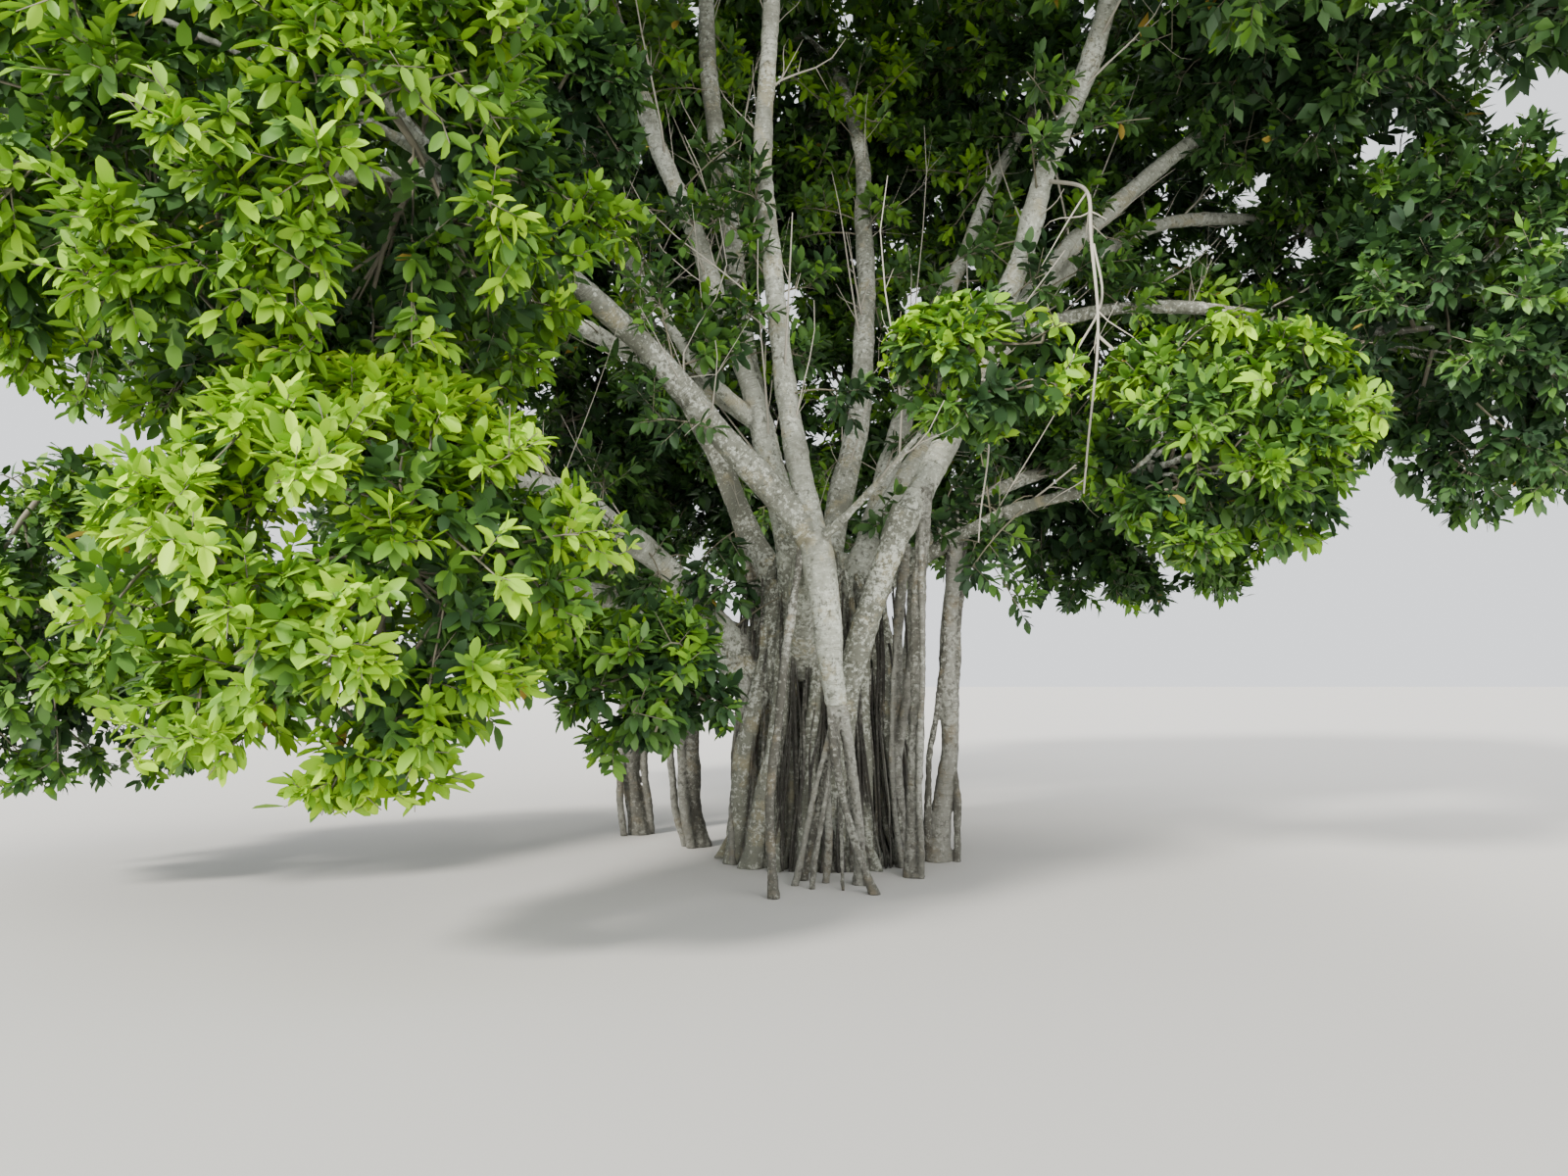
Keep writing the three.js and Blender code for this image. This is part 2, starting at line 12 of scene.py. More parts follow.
import bpy
import numpy as np
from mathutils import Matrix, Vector

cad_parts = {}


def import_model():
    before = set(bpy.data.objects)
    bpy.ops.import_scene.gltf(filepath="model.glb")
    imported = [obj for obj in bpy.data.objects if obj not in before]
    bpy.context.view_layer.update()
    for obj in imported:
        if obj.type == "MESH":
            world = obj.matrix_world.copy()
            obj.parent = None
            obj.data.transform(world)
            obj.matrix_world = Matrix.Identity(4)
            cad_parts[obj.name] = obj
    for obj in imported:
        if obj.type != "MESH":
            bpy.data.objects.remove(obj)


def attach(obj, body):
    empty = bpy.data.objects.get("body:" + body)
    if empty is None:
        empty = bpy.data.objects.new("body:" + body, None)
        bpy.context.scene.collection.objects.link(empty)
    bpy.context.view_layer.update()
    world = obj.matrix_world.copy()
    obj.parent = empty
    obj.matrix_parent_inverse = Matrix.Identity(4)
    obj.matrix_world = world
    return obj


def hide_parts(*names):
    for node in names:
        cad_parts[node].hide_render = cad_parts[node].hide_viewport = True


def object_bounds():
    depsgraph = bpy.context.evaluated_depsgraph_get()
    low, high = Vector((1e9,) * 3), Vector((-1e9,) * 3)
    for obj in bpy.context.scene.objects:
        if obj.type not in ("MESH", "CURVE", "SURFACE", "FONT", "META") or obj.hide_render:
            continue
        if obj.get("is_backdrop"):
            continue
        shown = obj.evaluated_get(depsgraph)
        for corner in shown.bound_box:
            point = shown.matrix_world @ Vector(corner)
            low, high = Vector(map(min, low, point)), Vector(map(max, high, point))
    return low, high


Point = tuple[float, float, float]
# Two arrays that belong together: vertices and their triangles, or a line's places and its radii
Pair = tuple[np.ndarray, np.ndarray]
# A limb's name, its centre line, and its radius at each place of that line
Line = tuple[str, np.ndarray, np.ndarray]
LOG = logging.getLogger("banyan")
UP = np.array([0.0, 0.0, 1.0])
GOLDEN_ANGLE = math.pi * (3 - math.sqrt(5))
# The end of a range for random angles: a full turn, near enough
FULL_TURN = 6.28
# The seeds of the masses' directions and of their leaders and leaves, before a mass's number is added
FIRST_SEED, LEADER_SEED, LEAF_SEED = 1, 900, 400
# How many steps a limb's line is measured in, and the power by which it tapers
LINE_STEPS = 65
TAPER = 0.85
# How far below the ground roots start, before they are cut
ROOT_END = -0.12
# How finely the tubes that a skin is grown from are rounded
TUBE_ROUNDNESS = 3
# How many places the line of a main twig, a branch or a shoot has
TWIG_PLACES = 5
# How many halvings it takes to find the edge of a mass's space
HALVINGS = 12


class Slot(str, Enum):
    """The record's material slots."""

    BARK = "bark"
    ROOT_BARK = "root_bark"
    DEAD_WOOD = "dead_wood"
    FOLIAGE = "foliage"


# Limbs and foliage, as in the part's source


@dataclass(frozen=True)
class Limb:
    """A tapering limb that starts at one point, passes another half-way and ends at its tip.

    Args:
        start: Where it starts.
        middle: The point that it passes half-way.
        tip: Where it ends.
        radii: Its radius at the start and at the tip.
    """

    start: Point
    middle: Point
    tip: Point
    radii: tuple[float, float]

    def path(self, count: int, seed: int = 0, sway: float = 0.0) -> Pair:
        """The limb's centre line and radii at evenly spaced places.

        Args:
            count: How many places.
            seed: Chooses how it meanders.
            sway: How far it meanders, as a share of its radius.

        Returns:
            The places and the radius at each.
        """
        start, middle, tip = (np.array(p) for p in (self.start, self.middle, self.tip))
        bend = 2 * middle - 0.5 * start - 0.5 * tip
        t = np.linspace(0, 1, LINE_STEPS)[:, None]
        fine = (1 - t) ** 2 * start + 2 * (1 - t) * t * bend + t**2 * tip
        steps = np.linalg.norm(np.diff(fine, axis=0), axis=1)
        length = np.concatenate([[0], np.cumsum(steps)])
        share = np.linspace(0, 1, count)
        places = np.stack([np.interp(share * length[-1], length, fine[:, k]) for k in range(3)], axis=1)
        radii = self.radii[0] + (self.radii[1] - self.radii[0]) * share**TAPER
        if sway:
            random = np.random.default_rng(seed)
            waves = random.uniform(0.6, 1.6, (3, 3)) * length[-1]
            phases = random.uniform(0, 2 * math.pi, (3, 3))
            ends = np.sin(math.pi * share) ** 0.6
            for axis in range(3):
                swing = sum(np.sin(waves[axis, k] * (k + 1.5) * share + phases[axis, k]) for k in range(3))
                places[:, axis] += sway * radii * ends * swing / 2
            radii = radii * (1 + 0.05 * np.sin(waves[0, 0] * 9 * share + phases[0, 0]))
        return places, radii


class Outline(Enum):
    """How a leaf is drawn: the corners of one side, how far its tip hangs, and its triangles.

    A corner is given along the rib, across it as a share of half the width, and above it.
    """

    FOLDED = (
        ((0.2, 0.76, 0.04), (0.52, 1, 0.06), (0.84, 0.62, 0.01)),
        -0.07,
        ((0, 2, 1), (0, 4, 2), (4, 3, 2), (0, 6, 4), (0, 7, 6), (4, 6, 5)),
    )
    ARCHED = (((0.3, 0.96, 0.04), (0.7, 0.84, 0.02)), -0.09, ((0, 5, 1), (1, 5, 4), (1, 4, 2), (2, 4, 3)))
    SLIM = (((0.46, 1, 0.05),), -0.05, ((0, 2, 1), (0, 3, 2)))


@dataclass(frozen=True)
class Blade:
    """A kind of leaf.

    Args:
        length: Its mean length.
        width: Its width as a share of its length.
        drawn: How it is drawn.
        each: How many stand on a spray.
        inside: Whether it stands inside its mass, in the shade of the outer leaves.
    """

    length: float
    width: float
    drawn: Outline
    each: int
    inside: bool = False

    def outline(self) -> Pair:
        """A leaf of this kind, one long.

        Returns:
            Its corners along, across and above its rib, and its triangles.
        """
        half = self.width / 2
        side, tip, faces = self.drawn.value
        left = [(x, y * half, z) for x, y, z in side]
        right = [(x, -y, z) for x, y, z in reversed(left)]
        return np.array([(0, 0, 0), *left, (1, 0, tip), *right]), np.array(faces)


@dataclass(frozen=True)
class Dress:
    """How thickly a mass is dressed.

    Args:
        blade: Its outer leaves.
        shaded: Its leaves that stand inside it, painted darker as shade.
        sprays: How many sprays it has for each square metre of its surface.
        inner: How many sprays of leaves in painted shade it has, by the same measure.
        mingling: How far it grows into its neighbours.
        depth: How near its middle and how near its edge its clumps stand, as shares of its reach.
        broad: The least and greatest width of a clump, as shares of its size.
        loose: The share of its branches that stand between the clumps.
        hidden: How many sprays of leaves in painted shade there are for each main twig.
    """

    blade: Blade
    shaded: Blade
    sprays: float
    inner: float
    mingling: float
    depth: tuple[float, float]
    broad: tuple[float, float]
    loose: float
    hidden: int


NEAR_SHADED = Blade(0.135, 0.5, Outline.ARCHED, 12, True)
FAR_SHADED = Blade(0.18, 0.56, Outline.SLIM, 13, True)


class Leafage(Enum):
    """Where a mass stands as the camera sees it, and so how it is dressed."""

    FRONT = Dress(
        Blade(0.12, 0.46, Outline.FOLDED, 11), NEAR_SHADED, 44.0, 9.0, 0.3,
        (0.44, 0.86), (0.28, 0.48), 0.22, 6,
    )
    SIDE = Dress(
        Blade(0.112, 0.48, Outline.ARCHED, 12), NEAR_SHADED, 36.0, 9.0, 0.35,
        (0.42, 0.88), (0.24, 0.46), 0.42, 6,
    )
    BACK = Dress(
        Blade(0.132, 0.52, Outline.SLIM, 14), FAR_SHADED, 29.0, 8.0, 0.45,
        (0.5, 0.86), (0.24, 0.44), 0.45, 3,
    )
    TOP = Dress(
        Blade(0.17, 0.5, Outline.SLIM, 14), FAR_SHADED, 16.0, 3.5, 0.35,
        (0.54, 0.88), (0.22, 0.42), 0.35, 3,
    )


@dataclass(frozen=True)
class Mass:
    """A mass of leaves.

    Args:
        middle: Where its middle is.
        reach: How far it reaches from there, along each axis.
        limb: The bough that carries it, or nothing where it grows from the trunk.
        light: How brightly its leaves are painted: painted light and shade for how the mass is lit.
        leafage: How it is dressed.
    """

    middle: Point
    reach: Point
    limb: str
    light: float
    leafage: Leafage

    @property
    def size(self) -> float:
        """The mean of the three reaches."""
        return float(np.cbrt(np.prod(self.reach)))


STEMS = {
    "front_stem": Limb((0.13, -1.11, 1.23), (0.06, -1.06, 1.8), (-0.025, -0.975, 2.42), (0.072, 0.128)),
    "right_stem": Limb((0.205, -0.33, -0.12), (0.225, -0.52, 1.18), (0.66, -0.69, 2.64), (0.084, 0.104)),
}
BOUGHS = {
    "bough_left_long": Limb(
        (-0.025, -0.985, 2.38), (-1.13, -1.42, 3.59), (-1.96, -2.5, 4.23), (0.118, 0.062)
    ),
    "bough_up_centre": Limb((-0.005, -0.97, 2.4), (-0.35, -0.64, 4.85), (-0.25, -0.7, 7.62), (0.092, 0.058)),
    "bough_up_left": Limb((-0.19, -0.45, 2.3), (-0.8, -0.33, 4.5), (-2.1, 0.15, 7.5), (0.096, 0.054)),
    "bough_up_back": Limb((-0.13, -0.18, 2.3), (-0.7, 0.13, 5.1), (-0.9, 0.33, 8.5), (0.112, 0.056)),
    "bough_up_left_fork": Limb(
        (-1.215, -0.185, 5.62), (-1.5, -0.42, 6.45), (-1.8, -0.95, 7.05), (0.044, 0.034)
    ),
    "bough_left_thin": Limb((-0.43, -0.45, 3.3), (-1.01, -0.9, 3.88), (-1.43, -1.33, 4.53), (0.056, 0.034)),
    "bough_up_right": Limb((0.625, -0.67, 2.5), (1.42, -0.42, 4.23), (2.18, -0.9, 6.5), (0.102, 0.076)),
    "bough_right_long": Limb((0.24, -0.04, 2.0), (1.8, 0.38, 4.5), (3.45, 0.38, 6.03), (0.138, 0.062)),
    "bough_right_upper": Limb((1.95, 0.4, 4.65), (3.2, 0.95, 5.35), (4.35, 1.25, 5.45), (0.076, 0.052)),
    "bough_right_level": Limb((1.5, 0.26, 4.13), (2.7, 0.15, 4.38), (3.8, -0.1, 4.15), (0.066, 0.046)),
    "bough_front_twig": Limb((0.02, -1.03, 2.38), (0.36, -1.4, 2.68), (0.64, -1.66, 3.0), (0.034, 0.022)),
    "bough_left_low": Limb((-0.33, 0.06, 1.18), (-1.33, -0.48, 2.43), (-1.93, -2.15, 2.65), (0.138, 0.062)),
    "bough_left_flat": Limb((-0.3, 0.26, 1.62), (-2.2, 0.33, 2.12), (-4.15, -0.33, 2.18), (0.12, 0.062)),
    "bough_back_left_low": Limb((-0.35, 0.56, 1.56), (-1.5, 1.05, 1.9), (-2.4, 1.95, 2.62), (0.084, 0.056)),
    "bough_back_up": Limb((0.08, 0.3, 2.15), (0.5, 1.0, 4.8), (0.35, 2.3, 7.3), (0.12, 0.062)),
    "bough_back_right_up": Limb((0.33, 0.38, 2.1), (1.15, 1.15, 4.6), (2.0, 1.85, 6.5), (0.116, 0.056)),
    "bough_left_mid": Limb((-0.43, -0.3, 3.35), (-2.3, -0.18, 4.35), (-3.95, 0.05, 4.95), (0.078, 0.048)),
    "bough_back_left_up": Limb((-0.23, 0.52, 2.05), (-1.15, 1.35, 3.95), (-1.95, 2.25, 5.7), (0.118, 0.06)),
    "bough_back_low": Limb((0.02, 0.62, 1.85), (-0.06, 1.8, 2.7), (-0.02, 2.9, 3.2), (0.088, 0.052)),
    "bough_back_right_low": Limb((0.38, 0.48, 1.9), (1.4, 1.35, 2.85), (2.4, 1.9, 3.35), (0.096, 0.056)),
    "bough_right_lit": Limb((0.48, 0.03, 2.08), (1.2, -0.33, 2.52), (1.95, -1.0, 2.75), (0.066, 0.042)),
}
ROOTS = {
    "root_front_left": Limb((-0.29, -1.45, -0.12), (-0.29, -1.33, 0.9), (-0.11, -1.0, 2.33), (0.036, 0.03)),
    "root_crossing_right": Limb(
        (0.42, -1.33, -0.12), (0.15, -1.225, 0.65), (0.09, -1.1, 1.33), (0.027, 0.027)
    ),
    "root_crossing_left": Limb(
        (-0.13, -0.8, -0.12), (0.015, -0.98, 0.62), (0.135, -1.085, 1.34), (0.03, 0.026)
    ),
    "root_front_centre": Limb((0.29, -0.96, -0.12), (0.25, -1.06, 0.64), (0.145, -1.1, 1.33), (0.04, 0.034)),
    "root_right_front": Limb((0.69, -0.7, -0.12), (0.725, -0.67, 1.0), (0.8, -0.62, 2.8), (0.064, 0.05)),
    "root_right_inner": Limb((0.66, -0.33, -0.12), (0.625, -0.26, 1.1), (0.7, -0.3, 2.42), (0.046, 0.04)),
    "root_right_slant": Limb((0.43, 0.08, -0.12), (0.62, -0.23, 0.82), (0.8, -0.52, 2.1), (0.04, 0.034)),
    "root_right_outer": Limb((0.96, -0.04, -0.12), (1.01, -0.06, 0.95), (1.08, -0.215, 2.47), (0.084, 0.058)),
    "root_left_inner": Limb((-0.52, -0.19, -0.12), (-0.5, -0.15, 0.9), (-0.56, -0.03, 1.72), (0.062, 0.056)),
    "root_left_pair": Limb((-0.9, 0.64, -0.12), (-1.01, 0.56, 0.76), (-1.08, 0.38, 1.88), (0.084, 0.062)),
    "root_left_far": Limb((-1.5, 1.28, -0.12), (-1.56, 1.25, 0.8), (-1.59, 1.13, 1.95), (0.086, 0.066)),
    "root_back_left": Limb((-0.33, 1.28, -0.12), (-0.39, 1.21, 1.1), (-0.64, 0.93, 2.84), (0.074, 0.058)),
    "root_back_right": Limb((0.82, 1.15, -0.12), (0.85, 1.08, 1.15), (0.9, 0.98, 2.45), (0.08, 0.06)),
}
SHOULDERS = (
    Limb((-0.06, -0.15, 1.5), (-0.09, -0.62, 1.9), (-0.05, -0.93, 2.3), (0.17, 0.112)),
    Limb((-0.04, -0.06, 1.8), (-0.13, -0.32, 2.13), (-0.19, -0.48, 2.46), (0.19, 0.12)),
    Limb((-0.1, 0.15, 0.9), (-0.42, 0.06, 1.3), (-0.64, -0.06, 1.56), (0.23, 0.15)),
)
DEAD_BRANCH = (
    (1.74, -0.56, 5.12),
    (1.99, -0.85, 4.96),
    (1.93, -1.15, 4.4),
    (1.88, -1.35, 3.6),
    (1.74, -1.5, 2.64),
)
HANGING_TWIGS = (
    ((1.93, -1.12, 4.44), (1.98, -1.2, 3.95), (1.66, -1.3, 3.5), (1.7, -1.36, 3.32)),
    ((1.13, -0.5, 3.62), (1.26, -0.95, 3.52), (1.18, -1.05, 3.0), (1.12, -1.05, 2.36)),
    ((1.9, -1.3, 3.75), (2.1, -1.36, 3.5), (2.24, -1.4, 3.42), (2.3, -1.44, 3.3)),
)
FRONT, SIDE, BACK, TOP = Leafage
# Each mass's light paints its leaves lighter or darker for how the mass is lit or shaded
MASSES = {
    "foliage_left_front_low": Mass((-2.45, -3.15, 1.95), (1.5, 1.3, 1.22), "bough_left_low", 0.98, FRONT),
    "foliage_left_front_high": Mass((-2.95, -2.95, 4.2), (2.05, 1.7, 1.65), "bough_left_long", 0.76, FRONT),
    "foliage_left_far_low": Mass((-5.2, -0.85, 1.8), (1.45, 1.55, 1.28), "bough_left_flat", 0.6, SIDE),
    "foliage_left_middle": Mass((-4.95, 0.05, 4.95), (1.75, 2.0, 1.8), "bough_left_mid", 0.58, SIDE),
    "foliage_left_high": Mass((-3.9, 0.7, 7.85), (2.35, 2.2, 1.9), "bough_up_left", 0.45, TOP),
    "foliage_top_left": Mass((-2.5, -2.25, 7.35), (2.25, 2.05, 1.85), "bough_up_left_fork", 0.42, TOP),
    "foliage_top_front": Mass((0.05, -1.95, 8.5), (1.9, 1.8, 1.6), "bough_up_centre", 0.48, TOP),
    "foliage_crown_top": Mass((-0.2, 0.8, 9.25), (3.0, 2.7, 1.65), "bough_up_back", 0.55, TOP),
    "foliage_top_right": Mass((2.6, -2.05, 7.35), (2.25, 2.05, 1.85), "bough_up_right", 0.38, TOP),
    "foliage_right_high": Mass((4.6, 0.1, 7.0), (2.2, 2.15, 1.9), "bough_right_long", 0.38, BACK),
    "foliage_right_far": Mass((5.2, 1.65, 4.9), (1.6, 1.85, 1.55), "bough_right_upper", 0.34, SIDE),
    "foliage_right_front": Mass((4.85, -0.75, 3.95), (1.75, 1.6, 1.5), "bough_right_level", 0.4, SIDE),
    "foliage_right_lit": Mass((2.75, -1.35, 3.0), (1.08, 0.98, 0.92), "bough_right_lit", 0.72, FRONT),
    "foliage_centre_lit": Mass((0.97, -1.93, 3.36), (0.72, 0.62, 0.48), "bough_front_twig", 0.92, FRONT),
    "foliage_back_left_low": Mass((-3.1, 3.0, 3.6), (2.45, 2.0, 1.9), "bough_back_left_low", 0.4, BACK),
    "foliage_back_left_high": Mass((-2.5, 3.2, 6.75), (2.5, 2.2, 2.2), "bough_back_left_up", 0.46, BACK),
    "foliage_back_low": Mass((0.05, 3.9, 3.8), (2.6, 1.6, 1.85), "bough_back_low", 0.47, BACK),
    "foliage_back_high": Mass((0.2, 3.7, 6.95), (2.6, 1.9, 2.2), "bough_back_up", 0.5, BACK),
    "foliage_back_right_low": Mass((3.2, 2.7, 3.7), (2.3, 1.9, 1.85), "bough_back_right_low", 0.42, BACK),
    "foliage_back_right_high": Mass((2.9, 2.95, 7.1), (2.5, 2.2, 2.2), "bough_back_right_up", 0.48, BACK),
    "foliage_inner_left": Mass((-1.95, -1.7, 5.2), (0.9, 0.85, 0.85), "bough_left_thin", 0.45, FRONT),
    "foliage_trunk_left": Mass((-1.2, -1.4, 1.4), (0.78, 0.56, 0.68), "", 0.62, FRONT),
}
# Where the stem of the mass that grows from the trunk starts, and its radius there
TRUNK_STEM = (-0.52, -0.07, 1.56)
TRUNK_STEM_RADIUS = 0.034
# How many places a mass's stem has, and what is left of its radius at its hub
STEM_PLACES = 10
STEM_TAPER = 0.62
# How many leaders a bough forks into, how far apart they turn, their places, and their tips' radius
LEADERS = 3
LEADER_TURN = 2.1
LEADER_PLACES = 12
LEADER_TIP = 0.013


# Arithmetic on arrays


def unit(vectors: np.ndarray) -> np.ndarray:
    """The vectors, each brought to length one."""
    return vectors / np.maximum(np.linalg.norm(vectors, axis=-1, keepdims=True), 1e-9)


def basis(ways: np.ndarray) -> Pair:
    """Two unit vectors square to each way and to one another.

    Args:
        ways: Unit vectors.

    Returns:
        The two, for each way.
    """
    other = np.where(np.abs(ways[..., 2:3]) > 0.9, np.array([1.0, 0, 0]), UP)
    first = unit(np.cross(ways, other))
    return first, np.cross(ways, first)


def seeded(seed: int) -> Callable[[], float]:
    """The part's own source of numbers from 0 to 1.

    Args:
        seed: Which run of numbers.

    Returns:
        A function that gives the next number.
    """
    state = seed * 7919 + 17

    def following() -> float:
        """The next number."""
        nonlocal state
        state = (state * 1664525 + 1013904223) % 4294967296
        return state / 4294967296

    return following


def even_directions(count: int, turn: float) -> np.ndarray:
    """Directions spread evenly over a ball.

    Args:
        count: How many.
        turn: How far all of them are turned about the vertical.

    Returns:
        One unit vector a row.
    """
    n = np.arange(count)
    height = 1 - (2 * n + 1) / count
    flat = np.sqrt(1 - height**2)
    angle = n * GOLDEN_ANGLE + turn
    return np.stack([flat * np.cos(angle), flat * np.sin(angle), height], axis=1)


def bent(starts: np.ndarray, bends: np.ndarray, ends: np.ndarray, count: int) -> np.ndarray:
    """Curves from starts to ends, drawn towards bends.

    Args:
        starts: Where they start.
        bends: What they are drawn to.
        ends: Where they end.
        count: How many places each has.

    Returns:
        Curves by places by three coordinates.
    """
    t = np.linspace(0, 1, count)[None, :, None]
    return (1 - t) ** 2 * starts[:, None] + 2 * (1 - t) * t * bends[:, None] + t**2 * ends[:, None]


def inner_stem(name: str) -> Pair:
    """The stem that runs on from a bough's tip to the hub of its mass.

    Args:
        name: The mass.

    Returns:
        Its line, and the radius at each place.
    """
    mass = MASSES[name]
    limb = BOUGHS.get(mass.limb)
    middle = np.array(mass.middle)
    root = np.array(limb.tip if limb else TRUNK_STEM)
    onward = limb.path(9)[0] if limb else np.array([root, middle])
    facing = unit(onward[-1] - onward[-2])
    hub = middle + 0.25 * (root - middle)
    bend = root + facing * np.linalg.norm(hub - root) * 0.4
    line = bent((root - facing * 0.05)[None], bend[None], hub[None], STEM_PLACES)[0]
    thick = limb.radii[1] if limb else TRUNK_STEM_RADIUS
    return line, np.linspace(thick, thick * STEM_TAPER, STEM_PLACES)


def leaders(name: str) -> list[Pair]:
    """The limbs that a bough forks into where it enters its mass.

    Args:
        name: The mass.

    Returns:
        The line of each, and the radius at each place.
    """
    mass = MASSES[name]
    line, radii = inner_stem(name)
    random = np.random.default_rng(LEADER_SEED + list(MASSES).index(name))
    middle, reach = np.array(mass.middle), np.array(mass.reach)
    facing = unit(line[1] - line[0])
    found = []
    for turn in np.arange(LEADERS) * LEADER_TURN + random.uniform(0, FULL_TURN):
        first, second = basis(facing)
        way = unit(facing + 0.6 * (first * math.cos(turn) + second * math.sin(turn)) + UP * 0.35)
        end = line[1] + way * mass.size * random.uniform(0.9, 1.3)
        past = np.linalg.norm((end - middle) / reach)
        end = middle + (end - middle) * min(1.0, 0.8 / past)
        bend = line[1] + facing * np.linalg.norm(end - line[1]) * 0.5
        path = bent(line[1][None], bend[None], end[None], LEADER_PLACES)[0]
        thick = radii[0] * random.uniform(0.5, 0.75)
        found.append((path, np.linspace(thick, LEADER_TIP, LEADER_PLACES)))
    return found


def tube_arrays(paths: np.ndarray, radii: np.ndarray, sides: int) -> Pair:
    """Thin tubes along many paths at once.

    Args:
        paths: Tubes by places by three coordinates.
        radii: Tubes by places.
        sides: How many sides each tube has.

    Returns:
        Vertices, and triangles that name them.
    """
    tubes, places = radii.shape
    ways = unit(np.gradient(paths, axis=1))
    first, second = basis(ways)
    angles = 2 * math.pi * np.arange(sides) / sides
    ring = first[:, :, None] * np.cos(angles)[:, None] + second[:, :, None] * np.sin(angles)[:, None]
    vertices = paths[:, :, None] + ring * radii[:, :, None, None]
    here = np.arange(sides)
    following = (here + 1) % sides
    quads = []
    for step in range(places - 1):
        low, high = step * sides, (step + 1) * sides
        quads.append(np.stack([low + here, low + following, high + following], axis=1))
        quads.append(np.stack([low + here, high + following, high + here], axis=1))
    fan = np.arange(1, sides - 1)
    last = (places - 1) * sides
    quads.append(np.stack([np.full_like(fan, last), last + fan, last + fan + 1], axis=1))
    quads.append(np.stack([np.zeros_like(fan), fan + 1, fan], axis=1))
    one = np.concatenate(quads)
    offsets = (np.arange(tubes) * places * sides)[:, None, None]
    return vertices.reshape(-1, 3), (one[None] + offsets).reshape(-1, 3)


def near_line(places: np.ndarray, line: np.ndarray, margin: float) -> np.ndarray:
    """Which places lie in the box round a line.

    Args:
        places: The places.
        line: The line.
        margin: How far the box reaches past the line.

    Returns:
        The numbers of those places.
    """
    low, high = line.min(0) - margin, line.max(0) + margin
    return np.flatnonzero(np.all((places > low) & (places < high), axis=1))


def merged(parts: Sequence[tuple[np.ndarray, ...]]) -> Pair:
    """Several meshes' arrays as one mesh's.

    Args:
        parts: The vertices and triangles of each, and what else it has.

    Returns:
        All vertices, and all triangles, which name them.
    """
    passed = np.cumsum([0] + [len(part[0]) for part in parts[:-1]])
    vertices = np.concatenate([part[0] for part in parts])
    return vertices, np.concatenate([part[1] + before for part, before in zip(parts, passed)])


def mesh_object(
    name: str, vertices: np.ndarray, triangles: np.ndarray, slots: np.ndarray | None = None
) -> bpy.types.Object:
    """An object made from arrays.

    Args:
        name: Its name.
        vertices: Its vertices.
        triangles: Its triangles.
        slots: The material index of each triangle, or None.

    Returns:
        The object, linked to the scene.
    """
    mesh = bpy.data.meshes.new(name)
    mesh.vertices.add(len(vertices))
    mesh.vertices.foreach_set("co", vertices.astype(np.float32).ravel())
    mesh.loops.add(len(triangles) * 3)
    mesh.loops.foreach_set("vertex_index", triangles.astype(np.int32).ravel())
    mesh.polygons.add(len(triangles))
    mesh.polygons.foreach_set("loop_start", np.arange(0, len(triangles) * 3, 3, dtype=np.int32))
    if slots is not None:
        mesh.polygons.foreach_set("material_index", slots.astype(np.int32))
    mesh.update(calc_edges=True)
    made = bpy.data.objects.new(name, mesh)
    bpy.context.scene.collection.objects.link(made)
    return made


def triangle_count(made: bpy.types.Object) -> int:
    """How many triangles an object's faces come to."""
    return sum(len(face.vertices) - 2 for face in made.data.polygons)


# Shader expressions


class Value:
    """An output socket, with arithmetic that adds Math nodes."""

    def __init__(self, graph: "Graph", socket: bpy.types.NodeSocket) -> None:
        """Wraps one socket of a graph."""
        self.graph = graph
        self.socket = socket

    def _math(self, operation: str, *values: "Value | float") -> "Value":
        """One Math node over some values."""
        return self.graph.node("ShaderNodeMath", {"operation": operation}, list(values))

    def __add__(self, other: "Value | float") -> "Value":
        """The sum."""
        return self._math("ADD", self, other)

    def __radd__(self, other: float) -> "Value":
        """The sum, from the right."""
        return self._math("ADD", other, self)

    def __sub__(self, other: "Value | float") -> "Value":
        """The difference."""
        return self._math("SUBTRACT", self, other)

    def __rsub__(self, other: float) -> "Value":
        """The difference, from the right."""
        return self._math("SUBTRACT", other, self)

    def __mul__(self, other: "Value | float") -> "Value":
        """The product."""
        return self._math("MULTIPLY", self, other)

    def __rmul__(self, other: float) -> "Value":
        """The product, from the right."""
        return self._math("MULTIPLY", other, self)

    def between(self, low: float, high: float) -> "Value":
        """Eases from 0 at low to 1 at high."""
        inputs = {"Value": self, "From Min": low, "From Max": high}
        return self.graph.node("ShaderNodeMapRange", {"interpolation_type": "SMOOTHSTEP"}, inputs)


